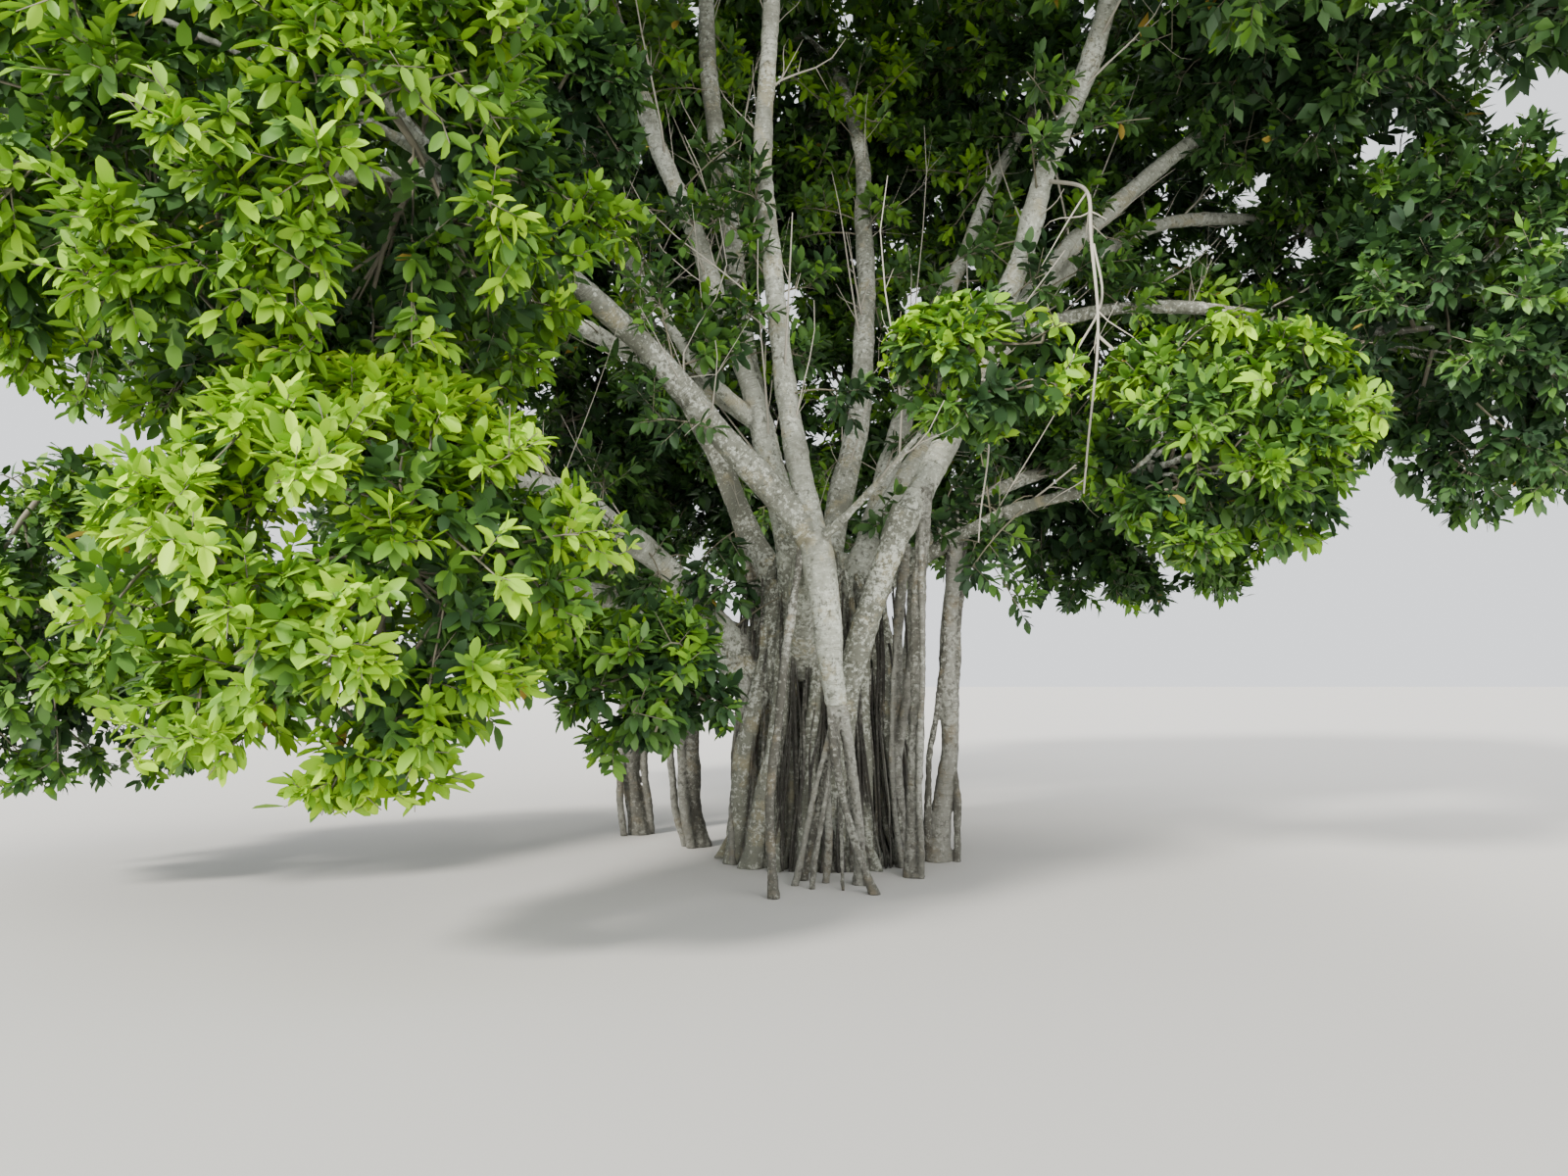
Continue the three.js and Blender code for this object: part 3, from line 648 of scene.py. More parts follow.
class Graph:
    """The nodes of one material."""

    def __init__(self, name: str) -> None:
        """Makes a material with its shader and nothing else.

        Args:
            name: The material's name.
        """
        self.material = bpy.data.materials.new(name)
        self.material.use_nodes = True
        self.tree = self.material.node_tree
        self.shader = next(n for n in self.tree.nodes if n.type == "BSDF_PRINCIPLED")

    def node(
        self,
        kind: str,
        settings: dict[str, object] | None = None,
        inputs: Sequence[object] | dict[object, object] | None = None,
        output: str | int = 0,
    ) -> Value:
        """Adds a node.

        Args:
            kind: Its type.
            settings: Its properties, set first.
            inputs: Values or links of its sockets, in order or by name or number.
            output: The socket to give back.

        Returns:
            That socket, wrapped.
        """
        made = self.tree.nodes.new(kind)
        for key, value in (settings or {}).items():
            setattr(made, key, value)
        pairs = inputs.items() if isinstance(inputs, dict) else enumerate(inputs or [])
        for key, value in pairs:
            self.feed(made.inputs[key], value)
        return Value(self, made.outputs[output])

    def feed(self, socket: bpy.types.NodeSocket, value: object) -> None:
        """Links a wrapped socket, or sets a plain value.

        Args:
            socket: The socket that is fed.
            value: What feeds it.
        """
        if isinstance(value, Value):
            self.tree.links.new(value.socket, socket)
        else:
            socket.default_value = value

    def mix(self, share: Value, low: object, high: object) -> Value:
        """A colour between two others."""
        return self.node("ShaderNodeMix", {"data_type": "RGBA"}, {0: share, 6: low, 7: high}, 2)

    def noise(self, where: Value, scale: float, detail: float = 4.0, rough: float = 0.55) -> Value:
        """Cloudy noise from 0 to 1."""
        inputs = {"Vector": where, "Scale": scale, "Detail": detail, "Roughness": rough}
        return self.node("ShaderNodeTexNoise", {}, inputs)

    def attribute(self, name: str) -> Value:
        """One of the piece's own numbers."""
        return self.node("ShaderNodeAttribute", {"attribute_name": name}, None, "Fac")


def colour(red: float, green: float, blue: float) -> tuple[float, float, float, float]:
    """An opaque colour."""
    return (red, green, blue, 1.0)


@dataclass(frozen=True)
class BarkFinish:
    """Bark with mottling, broken ring lines, lichen, ochre patches, painted shade in creases and a darker
    foot.

    Args:
        name: The material's name.
        dark: The darker of the two main colours.
        pale: The paler.
        patch: The colour of its yellowish patches.
        lichen: The colour of its small pale blotches.
        stain: The colour of its dark blotches.
        crease: The painted shade where two limbs meet and on the core that shows bare between them.
        rings: How strongly the ring lines show.
        soil_and_shade: How much darker it is at the ground: mostly painted shade of the crown, partly soiled
            bark.
        soil_and_shade_height: How high that darkening climbs.
    """

    name: str
    dark: Point
    pale: Point
    patch: Point
    lichen: Point
    stain: Point
    crease: Point
    rings: float
    soil_and_shade: float = 0.56
    soil_and_shade_height: float = 2.1

    def material(self) -> bpy.types.Material:
        """Mixes the colours and the relief from clouds of noise and from the skin's own numbers.

        Returns:
            The finished material.
        """
        graph = Graph(self.name)
        deepest = colour(*(0.4 * x for x in self.dark))
        where = graph.node("ShaderNodeTexCoord", output="Object")
        along = graph.attribute("along")
        tone = graph.attribute("tone")
        crease = graph.attribute("crease")
        broad = graph.noise(where, 2.3, 5.0)
        fine = graph.noise(where, 17.0, 6.0, 0.62)
        grain = graph.noise(where, 90.0, 3.0)
        lichen = graph.noise(where, 31.0, 5.0, 0.7)
        place = along * 118.0 + broad * 9.0 + fine * 4.2
        inputs = {"W": place, "Scale": 1.0, "Detail": 3.0}
        bands = graph.node("ShaderNodeTexNoise", {"noise_dimensions": "1D"}, inputs)
        lines = bands.between(0.54, 0.7) * fine.between(0.36, 0.6)
        mottle = (broad * 0.5 + fine * 0.5 + tone * 0.3 - 0.15).between(0.34, 0.62)
        base = graph.mix(mottle, colour(*self.dark), colour(*self.pale))
        spots = (graph.noise(where, 3.6, 3.0) * 0.7 + fine * 0.3).between(0.53, 0.62) * 0.55
        base = graph.mix(spots, base, colour(*self.patch))
        blotch = graph.noise(where, 21.0, 5.0, 0.68)
        base = graph.mix((blotch * 0.75 + broad * 0.25).between(0.53, 0.6) * 0.7, base, colour(*self.stain))
        base = graph.mix((lichen * 0.7 + broad * 0.3).between(0.5, 0.58) * 0.8, base, colour(*self.lichen))
        base = graph.mix(lines * self.rings, base, deepest)
        # Painted shade at the foot, with some soiling: the bark darkens towards the ground
        above = graph.node("ShaderNodeSeparateXYZ", {}, {"Vector": where}, "Z")
        foot = 1 - above.between(0.0, self.soil_and_shade_height)
        base = graph.mix(foot * self.soil_and_shade, base, deepest)
        # Painted shade in the creases between limbs and on the bare core between the strands
        base = graph.mix(crease * 0.85, base, colour(*self.crease))
        graph.feed(graph.shader.inputs["Base Color"], base)
        graph.feed(graph.shader.inputs["Roughness"], 0.94 - mottle * 0.16)
        height = fine * 0.5 + grain * 0.18 + lichen * 0.2 - lines * (0.5 * self.rings) - crease * 0.4
        inputs = {"Strength": 0.7, "Distance": 0.02, "Height": height}
        bump = graph.node("ShaderNodeBump", {}, inputs, "Normal")
        graph.feed(graph.shader.inputs["Normal"], bump)
        return graph.material


@dataclass(frozen=True)
class PlainFinish:
    """One even colour and gloss.

    Args:
        name: The material's name.
        base: Its colour.
        rough: How rough it is.
        shine: How strongly it mirrors.
    """

    name: str
    base: Point
    rough: float
    shine: float = 0.5

    def material(self) -> bpy.types.Material:
        """Sets the three values.

        Returns:
            The finished material.
        """
        graph = Graph(self.name)
        values = {"Base Color": colour(*self.base), "Roughness": self.rough, "Specular IOR Level": self.shine}
        for name, value in values.items():
            graph.feed(graph.shader.inputs[name], value)
        return graph.material


BARK = BarkFinish(
    "pale_bark",
    dark=(0.19, 0.195, 0.155),
    pale=(0.45, 0.465, 0.39),
    patch=(0.4, 0.35, 0.2),
    lichen=(0.68, 0.71, 0.62),
    stain=(0.085, 0.085, 0.065),
    crease=(0.03, 0.027, 0.022),
    rings=0.5,
)
# Root bark: darker than the bough bark, mostly painted shade of the root zone under the crown
ROOT = BarkFinish(
    "root_bark",
    dark=(0.095, 0.092, 0.075),
    pale=(0.28, 0.28, 0.24),
    patch=(0.25, 0.2, 0.115),
    lichen=(0.46, 0.47, 0.41),
    stain=(0.055, 0.052, 0.042),
    crease=(0.02, 0.018, 0.015),
    rings=0.4,
)
DEAD = PlainFinish("bleached_wood", (0.46, 0.43, 0.36), 0.9)
TWIG = PlainFinish("green_grey_twig", (0.2, 0.185, 0.13), 0.85)
# Leaf colours from painted shade to painted sunlight, with some real variety between sprays; the last is a
# turned leaf
LEAF_TINTS = (
    PlainFinish("leaf_shade", (0.021, 0.053, 0.02), 0.54, 0.33),
    PlainFinish("leaf_deep", (0.034, 0.082, 0.027), 0.52, 0.33),
    PlainFinish("leaf_dark", (0.052, 0.124, 0.031), 0.5, 0.33),
    PlainFinish("leaf_green", (0.08, 0.184, 0.031), 0.48, 0.32),
    PlainFinish("leaf_mid", (0.12, 0.265, 0.026), 0.48, 0.3),
    PlainFinish("leaf_half_lit", (0.18, 0.365, 0.02), 0.5, 0.28),
    PlainFinish("leaf_light", (0.26, 0.485, 0.018), 0.52, 0.26),
    PlainFinish("leaf_lit", (0.36, 0.61, 0.02), 0.55, 0.24),
    PlainFinish("leaf_lime", (0.46, 0.745, 0.027), 0.58, 0.22),
    PlainFinish("leaf_old", (0.36, 0.25, 0.04), 0.6, 0.25),
)
OLD_LEAF = len(LEAF_TINTS) - 1


# Modelling with operators


def deselect() -> None:
    """Leaves object mode with nothing selected."""
    if bpy.context.object and bpy.context.object.mode != "OBJECT":
        bpy.ops.object.mode_set(mode="OBJECT")
    bpy.ops.object.select_all(action="DESELECT")


def choose(*objects: bpy.types.Object) -> None:
    """Selects some objects alone and makes the first one active.

    Args:
        objects: The objects.
    """
    deselect()
    for made in objects:
        made.select_set(True)
    bpy.context.view_layer.objects.active = objects[0]


def apply_modifier(made: bpy.types.Object, kind: str, settings: dict[str, object]) -> None:
    """Adds a modifier and applies it.

    Args:
        made: The object.
        kind: The modifier's type.
        settings: Its properties.
    """
    choose(made)
    modifier = made.modifiers.new(kind.lower(), kind)
    for key, value in settings.items():
        setattr(modifier, key, value)
    bpy.ops.object.modifier_apply(modifier=modifier.name)


def vertex_places(made: bpy.types.Object) -> np.ndarray:
    """Where an object's vertices are.

    Args:
        made: The object.

    Returns:
        One place a row.
    """
    places = np.empty(len(made.data.vertices) * 3)
    made.data.vertices.foreach_get("co", places)
    return places.reshape(-1, 3)


def bevelled_line(name: str, places: np.ndarray, radii: np.ndarray) -> bpy.types.Object:
    """A closed tube along a line, from a bevelled curve.

    Args:
        name: Its name.
        places: The line.
        radii: The radius at each place.

    Returns:
        The tube as a mesh.
    """
    deselect()
    bpy.ops.curve.primitive_nurbs_path_add()
    made = bpy.context.object
    made.name = name
    made.data.splines.clear()
    line = made.data.splines.new("POLY")
    line.points.add(len(places) - 1)
    line.points.foreach_set("co", np.concatenate([places, np.ones((len(places), 1))], axis=1).ravel())
    line.points.foreach_set("radius", radii)
    made.data.dimensions = "3D"
    made.data.bevel_depth = 1.0
    made.data.bevel_resolution = TUBE_ROUNDNESS
    made.data.use_fill_caps = True
    bpy.ops.object.convert(target="MESH")
    return bpy.context.object


def join(name: str, objects: Sequence[bpy.types.Object]) -> bpy.types.Object:
    """Several objects as one mesh.

    Args:
        name: The mesh's name.
        objects: The objects, which it takes the place of.

    Returns:
        The one object.
    """
    choose(*objects)
    bpy.ops.object.join()
    made = bpy.context.object
    made.name = name
    made.data.name = name
    return made


@dataclass
class Timber:
    """The trunk, its fused roots, the prop roots, stems and boughs.

    Three skins are grown from closed tubes: the trunk, the prop roots and the boughs. Roots too fine
    for a skin are tubes of their own.

    Args:
        trunk_centre: Where the trunk's middle stands.
        flare_radius: The trunk's radius at its foot.
        waist_radius: Its radius where it is slimmest.
        waist_height: How high that is.
        shoulder_radius: Its radius where the boughs leave it.
        shoulder_height: How high that is.
        top_height: Where its core ends.
        core_share: The core's radius as a share of the trunk's.
        flutes: How many flutes the core has.
        flute_depth: How deep they are, as a share of its radius.
        twist: How far they turn in a metre, in radians.
        fused_roots: How many thick roots have grown together with it.
        foot_reach: How far from the middle they stand.
        top_reach: How far from the middle they end.
        fused_top: How high they end.
        fused_radius: How thick they are.
        strands: How many roots grip the trunk's sides.
        strand_radii: How thick the thinnest and the thickest of them are.
        fine_roots: How many fine roots hang round the trunk.
        fine_radii: How thick the thinnest and the thickest of them are.
        least_with_companions: How thick a prop root is that thinner ones climb beside.
        fork_height: Where the trunk's skin ends and the boughs' skin takes over.
        overlap: How far the two run past one another.
        skin_triangles: The most triangles that the trunk's, prop roots' and boughs' skins keep.
        voxels: How fine those skins are at first.
        swellings: The width of the soft clouds that roughen a skin, and how far each moves it.
        fan_feet: Where the roots below the hanging stem stand, and how thick they are.
        fan_top: How high they leave it.
        crease_width: How far the painted shade of a crease between two limbs spreads.
        lines: Every root and limb, once built.
    """

    trunk_centre: tuple[float, float] = (0.06, 0.18)
    flare_radius: float = 0.78
    waist_radius: float = 0.5
    waist_height: float = 1.15
    shoulder_radius: float = 0.56
    shoulder_height: float = 2.05
    top_height: float = 2.48
    core_share: float = 0.62
    flutes: int = 8
    flute_depth: float = 0.15
    twist: float = 0.16
    fused_roots: int = 12
    foot_reach: float = 0.78
    top_reach: float = 0.44
    fused_top: float = 2.15
    fused_radius: float = 0.056
    strands: int = 88
    strand_radii: tuple[float, float] = (0.014, 0.046)
    fine_roots: int = 110
    fine_radii: tuple[float, float] = (0.005, 0.013)
    least_with_companions: float = 0.045
    fork_height: float = 3.3
    overlap: float = 0.12
    skin_triangles: tuple[int, int, int] = (170000, 84000, 100000)
    voxels: tuple[float, float, float] = (0.0165, 0.0135, 0.021)
    swellings: tuple[tuple[float, float], ...] = ((0.3, 0.02), (0.07, 0.012), (0.03, 0.008))
    fan_feet: tuple[Point, ...] = (
        (-0.19, -1.02, 0.026),
        (-0.05, -1.14, 0.022),
        (0.05, -0.9, 0.03),
        (0.17, -1.2, 0.018),
        (0.37, -1.02, 0.024),
    )
    fan_top: float = 1.31
    crease_width: float = 0.025
    lines: list[Line] = field(default_factory=list)

    def profile(self) -> list[tuple[float, float]]:
        """The trunk's outline.

        Returns:
            Radii and heights, from the foot up.
        """
        return [
            (self.flare_radius, -0.1),
            (self.flare_radius * 0.92, 0.06),
            (self.flare_radius * 0.79, 0.26),
            (self.waist_radius * 1.1, 0.62),
            (self.waist_radius, self.waist_height),
            (self.shoulder_radius * 0.97, (self.waist_height + self.shoulder_height) / 2),
            (self.shoulder_radius, self.shoulder_height),
            (self.shoulder_radius * 0.66, self.top_height - 0.11),
            (0.02, self.top_height),
        ]

    def core(self) -> bpy.types.Object:
        """The trunk's middle: a disc extruded up the profile, with flutes pressed in.

        Returns:
            The closed mesh.
        """
        profile = [(radius * self.core_share, height) for radius, height in self.profile()]
        deselect()
        bpy.ops.mesh.primitive_circle_add(
            vertices=96, radius=profile[0][0], fill_type="NGON", location=(0, 0, profile[0][1])
        )
        made = bpy.context.object
        bpy.ops.object.transform_apply(location=True)
        bpy.ops.object.mode_set(mode="EDIT")
        bpy.ops.mesh.select_all(action="SELECT")
        for (radius, height), (wider, higher) in zip(profile, profile[1:]):
            bpy.ops.mesh.extrude_region_move(TRANSFORM_OT_translate={"value": (0, 0, higher - height)})
            share = wider / radius
            bpy.ops.transform.resize(value=(share, share, 1), center_override=(0, 0, higher))
        bpy.ops.mesh.select_all(action="SELECT")
        bpy.ops.mesh.normals_make_consistent(inside=False)
        bpy.ops.object.mode_set(mode="OBJECT")
        places = vertex_places(made)
        angle = np.arctan2(places[:, 1], places[:, 0])
        turn = angle + self.twist * places[:, 2]
        press = 1 + self.flute_depth * np.cos(self.flutes * turn) * (1 + 0.4 * np.sin(3 * angle))
        places[:, :2] = places[:, :2] * press[:, None] + np.array(self.trunk_centre)
        made.data.vertices.foreach_set("co", places.ravel())
        made.data.update()
        return made

    def round_trunk(self, angle: np.ndarray, reach: np.ndarray, height: np.ndarray) -> np.ndarray:
        """Places round the trunk's middle.

        Args:
            angle: Their angles about it.
            reach: How far from it they are.
            height: Their heights.

        Returns:
            The places.
        """
        x, y = self.trunk_centre
        return np.stack([x + reach * np.cos(angle), y + reach * np.sin(angle), height], axis=-1)

    def surface_reach(self, height: np.ndarray) -> np.ndarray:
        """How far the trunk's side is from its middle.

        Args:
            height: The heights that are asked for.

        Returns:
            The reach at each.
        """
        radii, heights = zip(*self.profile()[:-2])
        return np.interp(height, heights, radii)

    def fused_lines(self) -> list[Line]:
        """The thick roots that have grown together with the trunk, as in the part.

        Returns:
            The name, line and radii of each.
        """
        random = seeded(5)
        found = []
        for i in range(self.fused_roots):
            angle = i / self.fused_roots * 2 * math.pi + 0.35 + 0.3 * (random() - 0.5)
            foot = self.foot_reach * (0.84 + 0.22 * random())
            radius = self.fused_radius * (0.8 + 0.5 * random())
            half = (foot + self.top_reach) / 2
            turns = np.array([angle, angle + 0.1, angle + 0.25])
            heights = np.array([ROOT_END, self.fused_top * 0.5, self.fused_top])
            corners = self.round_trunk(turns, np.array([foot, half, self.top_reach]), heights)
            limb = Limb(*(tuple(corner) for corner in corners), (radius * 1.15, radius))
            found.append((f"fused_root_{i}", *limb.path(24, 70 + i, 0.4)))
        return found

    def strand_lines(self) -> list[Line]:
        """Roots that meander down the trunk's sides, with gaps between them where the core takes painted
        shade.

        Returns:
            The name, line and radii of each.
        """
        random = np.random.default_rng(31)
        found = []
        for i in range(self.strands):
            top = random.uniform(1.6, 2.4)
            height = np.linspace(ROOT_END, top, 22)
            share = np.clip(height / top, 0, 1)
            angle = i * GOLDEN_ANGLE + random.uniform(-0.12, 0.12)
            angle = angle + random.normal(0, 0.15) * height
            sway = random.uniform(0.01, 0.045)
            angle = angle + sway * np.sin(random.uniform(1.5, 4) * height + random.uniform(0, 6.3))
            radius = random.uniform(*self.strand_radii)
            radii = radius * (1 + 0.4 * np.exp(-np.maximum(height, 0) / 0.1) + 0.1 * np.sin(7 * height + i))
            depth = random.uniform(0.72, 1.06)
            reach = self.surface_reach(height) * depth + 0.02 * np.sin(3.1 * height + i) - 0.1 * share**6
            found.append((f"strand_{i}", self.round_trunk(angle, reach, height), radii))
        return found

    def fan_lines(self) -> list[Line]:
        """Slender roots that fan out from the foot of the hanging front stem.

        Returns:
            The name, line and radii of each.
        """
        top = STEMS["front_stem"].start
        found = []
        for i, (x, y, radius) in enumerate(self.fan_feet):
            middle = (x * 0.45 + top[0] * 0.55, y * 0.5 + top[1] * 0.5, 0.62)
            limb = Limb((x, y, ROOT_END), middle, (*top[:2], self.fan_top), (radius, radius * 0.8))
            found.append((f"fan_root_{i}", *limb.path(20, 40 + i, 0.8)))
        return found

    def companion_lines(self) -> list[Line]:
        """Thinner roots that climb beside each prop root and grow together with it.

        Returns:
            The name, line and radii of each.
        """
        random = np.random.default_rng(17)
        found = []
        for name, limb in ROOTS.items():
            if limb.radii[0] < self.least_with_companions:
                continue
            for i in range(3 if name == "root_right_outer" else 2):
                places, radii = limb.path(26, 300 + i, 0.3)
                t = np.linspace(0, 1, 26)
                turn = random.uniform(0, FULL_TURN) + random.uniform(-1.4, 1.4) * t
                off = radii * random.uniform(1.15, 1.7) * (1 + 0.25 * np.sin(5 * t + i))
                places[:, 0] += off * np.cos(turn)
                places[:, 1] += off * np.sin(turn)
                found.append((f"{name}_beside_{i}", places, radii * random.uniform(0.32, 0.55)))
        return found

    def limb_lines(self) -> list[Line]:
        """Every stem, shoulder, bough and prop root, and what runs on into the leaves.

        Returns:
            The name, line and radii of each.
        """
        found = [(f"shoulder_{i}", *limb.path(10)) for i, limb in enumerate(SHOULDERS)]
        found += [(f"inner_{name}", *inner_stem(name)) for name in MASSES]
        found += [(f"inner_{name}_{i}", *leader) for name in MASSES for i, leader in enumerate(leaders(name))]
        seed = 100
        for table, count, sway in ((STEMS, 26, 0.18), (BOUGHS, 44, 0.3), (ROOTS, 26, 0.45)):
            for name, limb in table.items():
                seed += 1
                places, radii = limb.path(count, seed, sway)
                if name.startswith("root"):
                    radii = radii * (1 + 0.4 * np.exp(-np.maximum(places[:, 2], 0) / 0.12))
                found.append((name, places, radii))
        return found

    def fuse(self, name: str, pieces: list[bpy.types.Object], voxel: float, most: int) -> bpy.types.Object:
        """Grows several closed meshes into one rough skin.

        Args:
            name: The new mesh's name.
            pieces: The closed meshes.
            voxel: How fine the skin is at first.
            most: The most triangles that it keeps.

        Returns:
            The one mesh.
        """
        made = join(name, pieces)
        apply_modifier(made, "REMESH", {"mode": "VOXEL", "voxel_size": voxel, "use_smooth_shade": True})
        apply_modifier(made, "SMOOTH", {"factor": 0.5, "iterations": 2})
        for size, strength in self.swellings:
            self.roughen(made, size, strength)
        triangles = triangle_count(made)
        if triangles > most:
            apply_modifier(made, "DECIMATE", {"ratio": most / triangles})
        return made

    def roughen(self, made: bpy.types.Object, size: float, strength: float) -> None:
        """Raises and lowers a skin by soft clouds.

        Args:
            made: The skin.
            size: How wide the clouds are.
            strength: How far they move it.
        """
        clouds = bpy.data.textures.new("swell", "CLOUDS")
        clouds.noise_scale = size
        clouds.noise_depth = 2
        settings = {"texture": clouds, "strength": strength, "mid_level": 0.5, "texture_coords": "LOCAL"}
        apply_modifier(made, "DISPLACE", settings)
        bpy.data.textures.remove(clouds)

    def describe(self, made: bpy.types.Object) -> None:
        """Gives each vertex its distance along its limb, its limb's tone, and how much painted shade it takes
        in a crease.

        Args:
            made: The skin.
        """
        places = vertex_places(made).astype(np.float32)
        best, second = np.full((2, len(places)), 9.0, np.float32)
        along, tone = np.zeros((2, len(places)), np.float32)
        random = np.random.default_rng(8)
        for name, line, radii in self.lines:
            # Strands and fused roots take a darker tone, painted shade of the trunk under the crown; other
            # limbs' tone is random
            shade = random.uniform(-1.2, 0.1) if name.startswith(("strand", "fused")) else random.uniform()
            near = near_line(places, line, 0.3)
            if not len(near):
                continue
            spans = np.diff(line, axis=0)
            lengths = np.linalg.norm(spans, axis=1)
            passed = np.concatenate([[0], np.cumsum(lengths)])
            offset = places[near][:, None] - line[None, :-1]
            share = np.clip((offset * spans).sum(-1) / lengths**2, 0, 1)
            apart = np.linalg.norm(offset - share[..., None] * spans, axis=-1)
            apart -= radii[:-1] + share * (radii[1:] - radii[:-1])
            nearest = apart.argmin(1)
            rows = np.arange(len(near))
            gap = apart[rows, nearest]
            distance = passed[nearest] + share[rows, nearest] * lengths[nearest]
            closer = gap < best[near]
            second[near] = np.where(closer, best[near], np.minimum(second[near], gap))
            along[near] = np.where(closer, distance, along[near])
            tone[near] = np.where(closer, shade, tone[near])
            best[near] = np.where(closer, gap, best[near])
        # Painted shade: dark in the creases where two limbs meet, and on the core where it shows bare between
        # strands
        between = np.clip(1 - (second - best) / self.crease_width, 0, 1) * np.clip(best / 0.012 + 0.35, 0, 1)
        bare = np.clip((best - 0.012) / 0.04, 0, 1) * (places[:, 2] < self.shoulder_height)
        crease = np.maximum(between, bare)
        for label, numbers in (("along", along), ("tone", tone), ("crease", crease)):
            attribute = made.data.attributes.new(label, "FLOAT", "POINT")
            attribute.data.foreach_set("value", numbers.astype(np.float32))

    def cut_at_ground(self, made: bpy.types.Object) -> None:
        """Cuts a skin flat at ground level and closes it.

        Args:
            made: The skin.
        """
        choose(made)
        bpy.ops.object.mode_set(mode="EDIT")
        bpy.ops.mesh.select_all(action="SELECT")
        bpy.ops.mesh.bisect(plane_co=(0, 0, 0), plane_no=(0, 0, 1), clear_inner=True, use_fill=True)
        bpy.ops.object.mode_set(mode="OBJECT")

    def fine_root_mesh(self) -> bpy.types.Object:
        """Fine roots that hang against the trunk and between the stems, some of them crossing.

        Returns:
            One mesh of them all.
        """
        random = np.random.default_rng(77)
        count = self.fine_roots
        t = np.linspace(0, 1, 14)[None]
        top = random.uniform(1.1, 2.3, (count, 1))
        height = top * (1 - t)
        front = random.normal(-1.45, 0.75, (count, 1))
        around = random.uniform(0, 2 * math.pi, (count, 1))
        start = np.where(random.uniform(size=(count, 1)) < 0.6, front, around)
        angle = start + random.normal(0, 0.1, (count, 1)) * t
        waves = random.uniform(4, 11, (count, 1)) * t
        angle = angle + 0.025 * np.sin(waves + random.uniform(0, 6, (count, 1)))
        lift = random.uniform(0.03, 0.2, (count, 1)) * np.sin(math.pi * (0.15 + 0.8 * t))
        reach = self.surface_reach(height) * 0.97 + lift
        paths = self.round_trunk(angle, reach, height)
        radii = random.uniform(*self.fine_radii, (count, 1)) * (0.8 + 0.4 * t)
        vertices, triangles = tube_arrays(paths, radii, 5)
        vertices[:, 2] = np.maximum(vertices[:, 2], 0.0)
        return mesh_object("fine_roots", vertices, triangles)

    def build(self) -> list[bpy.types.Object]:
        """Returns:
            The pieces.
        """
        self.lines = self.fused_lines() + self.strand_lines()
        self.lines += self.fan_lines() + self.companion_lines() + self.limb_lines()
        tubes: dict[str, list[bpy.types.Object]] = {"trunk": [self.core()], "props": [], "boughs": []}
        for name, places, radii in self.lines:
            below = places[:, 2] < self.fork_height + self.overlap
            above = places[:, 2] > self.fork_height - self.overlap
            foot = "props" if name.startswith(("root_", "fan_")) else "trunk"
            if below.sum() > 1:
                tubes[foot].append(bevelled_line(name, places[below], radii[below]))
            if above.sum() > 1:
                tubes["boughs"].append(bevelled_line(name, places[above], radii[above]))
        names = ("trunk_skin", "prop_roots", "boughs")
        trunk, props, boughs = (
            self.fuse(*row) for row in zip(names, tubes.values(), self.voxels, self.skin_triangles)
        )
        fine = self.fine_root_mesh()
        for made in (trunk, props, boughs, fine):
            self.describe(made)
        self.cut_at_ground(trunk)
        self.cut_at_ground(props)
        bark, root_bark = BARK.material(), ROOT.material()
        for made, material, slot in (
            (trunk, bark, Slot.BARK),
            (props, root_bark, Slot.ROOT_BARK),
            (boughs, bark, Slot.BARK),
            (fine, root_bark, Slot.ROOT_BARK),
        ):
            made.data.materials.append(material)
            choose(made)
            bpy.ops.object.shade_smooth()
            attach(made, "root")
        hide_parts("trunk", *STEMS)
        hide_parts(*ROOTS)
        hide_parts(*BOUGHS)
        return [trunk, props, boughs, fine]


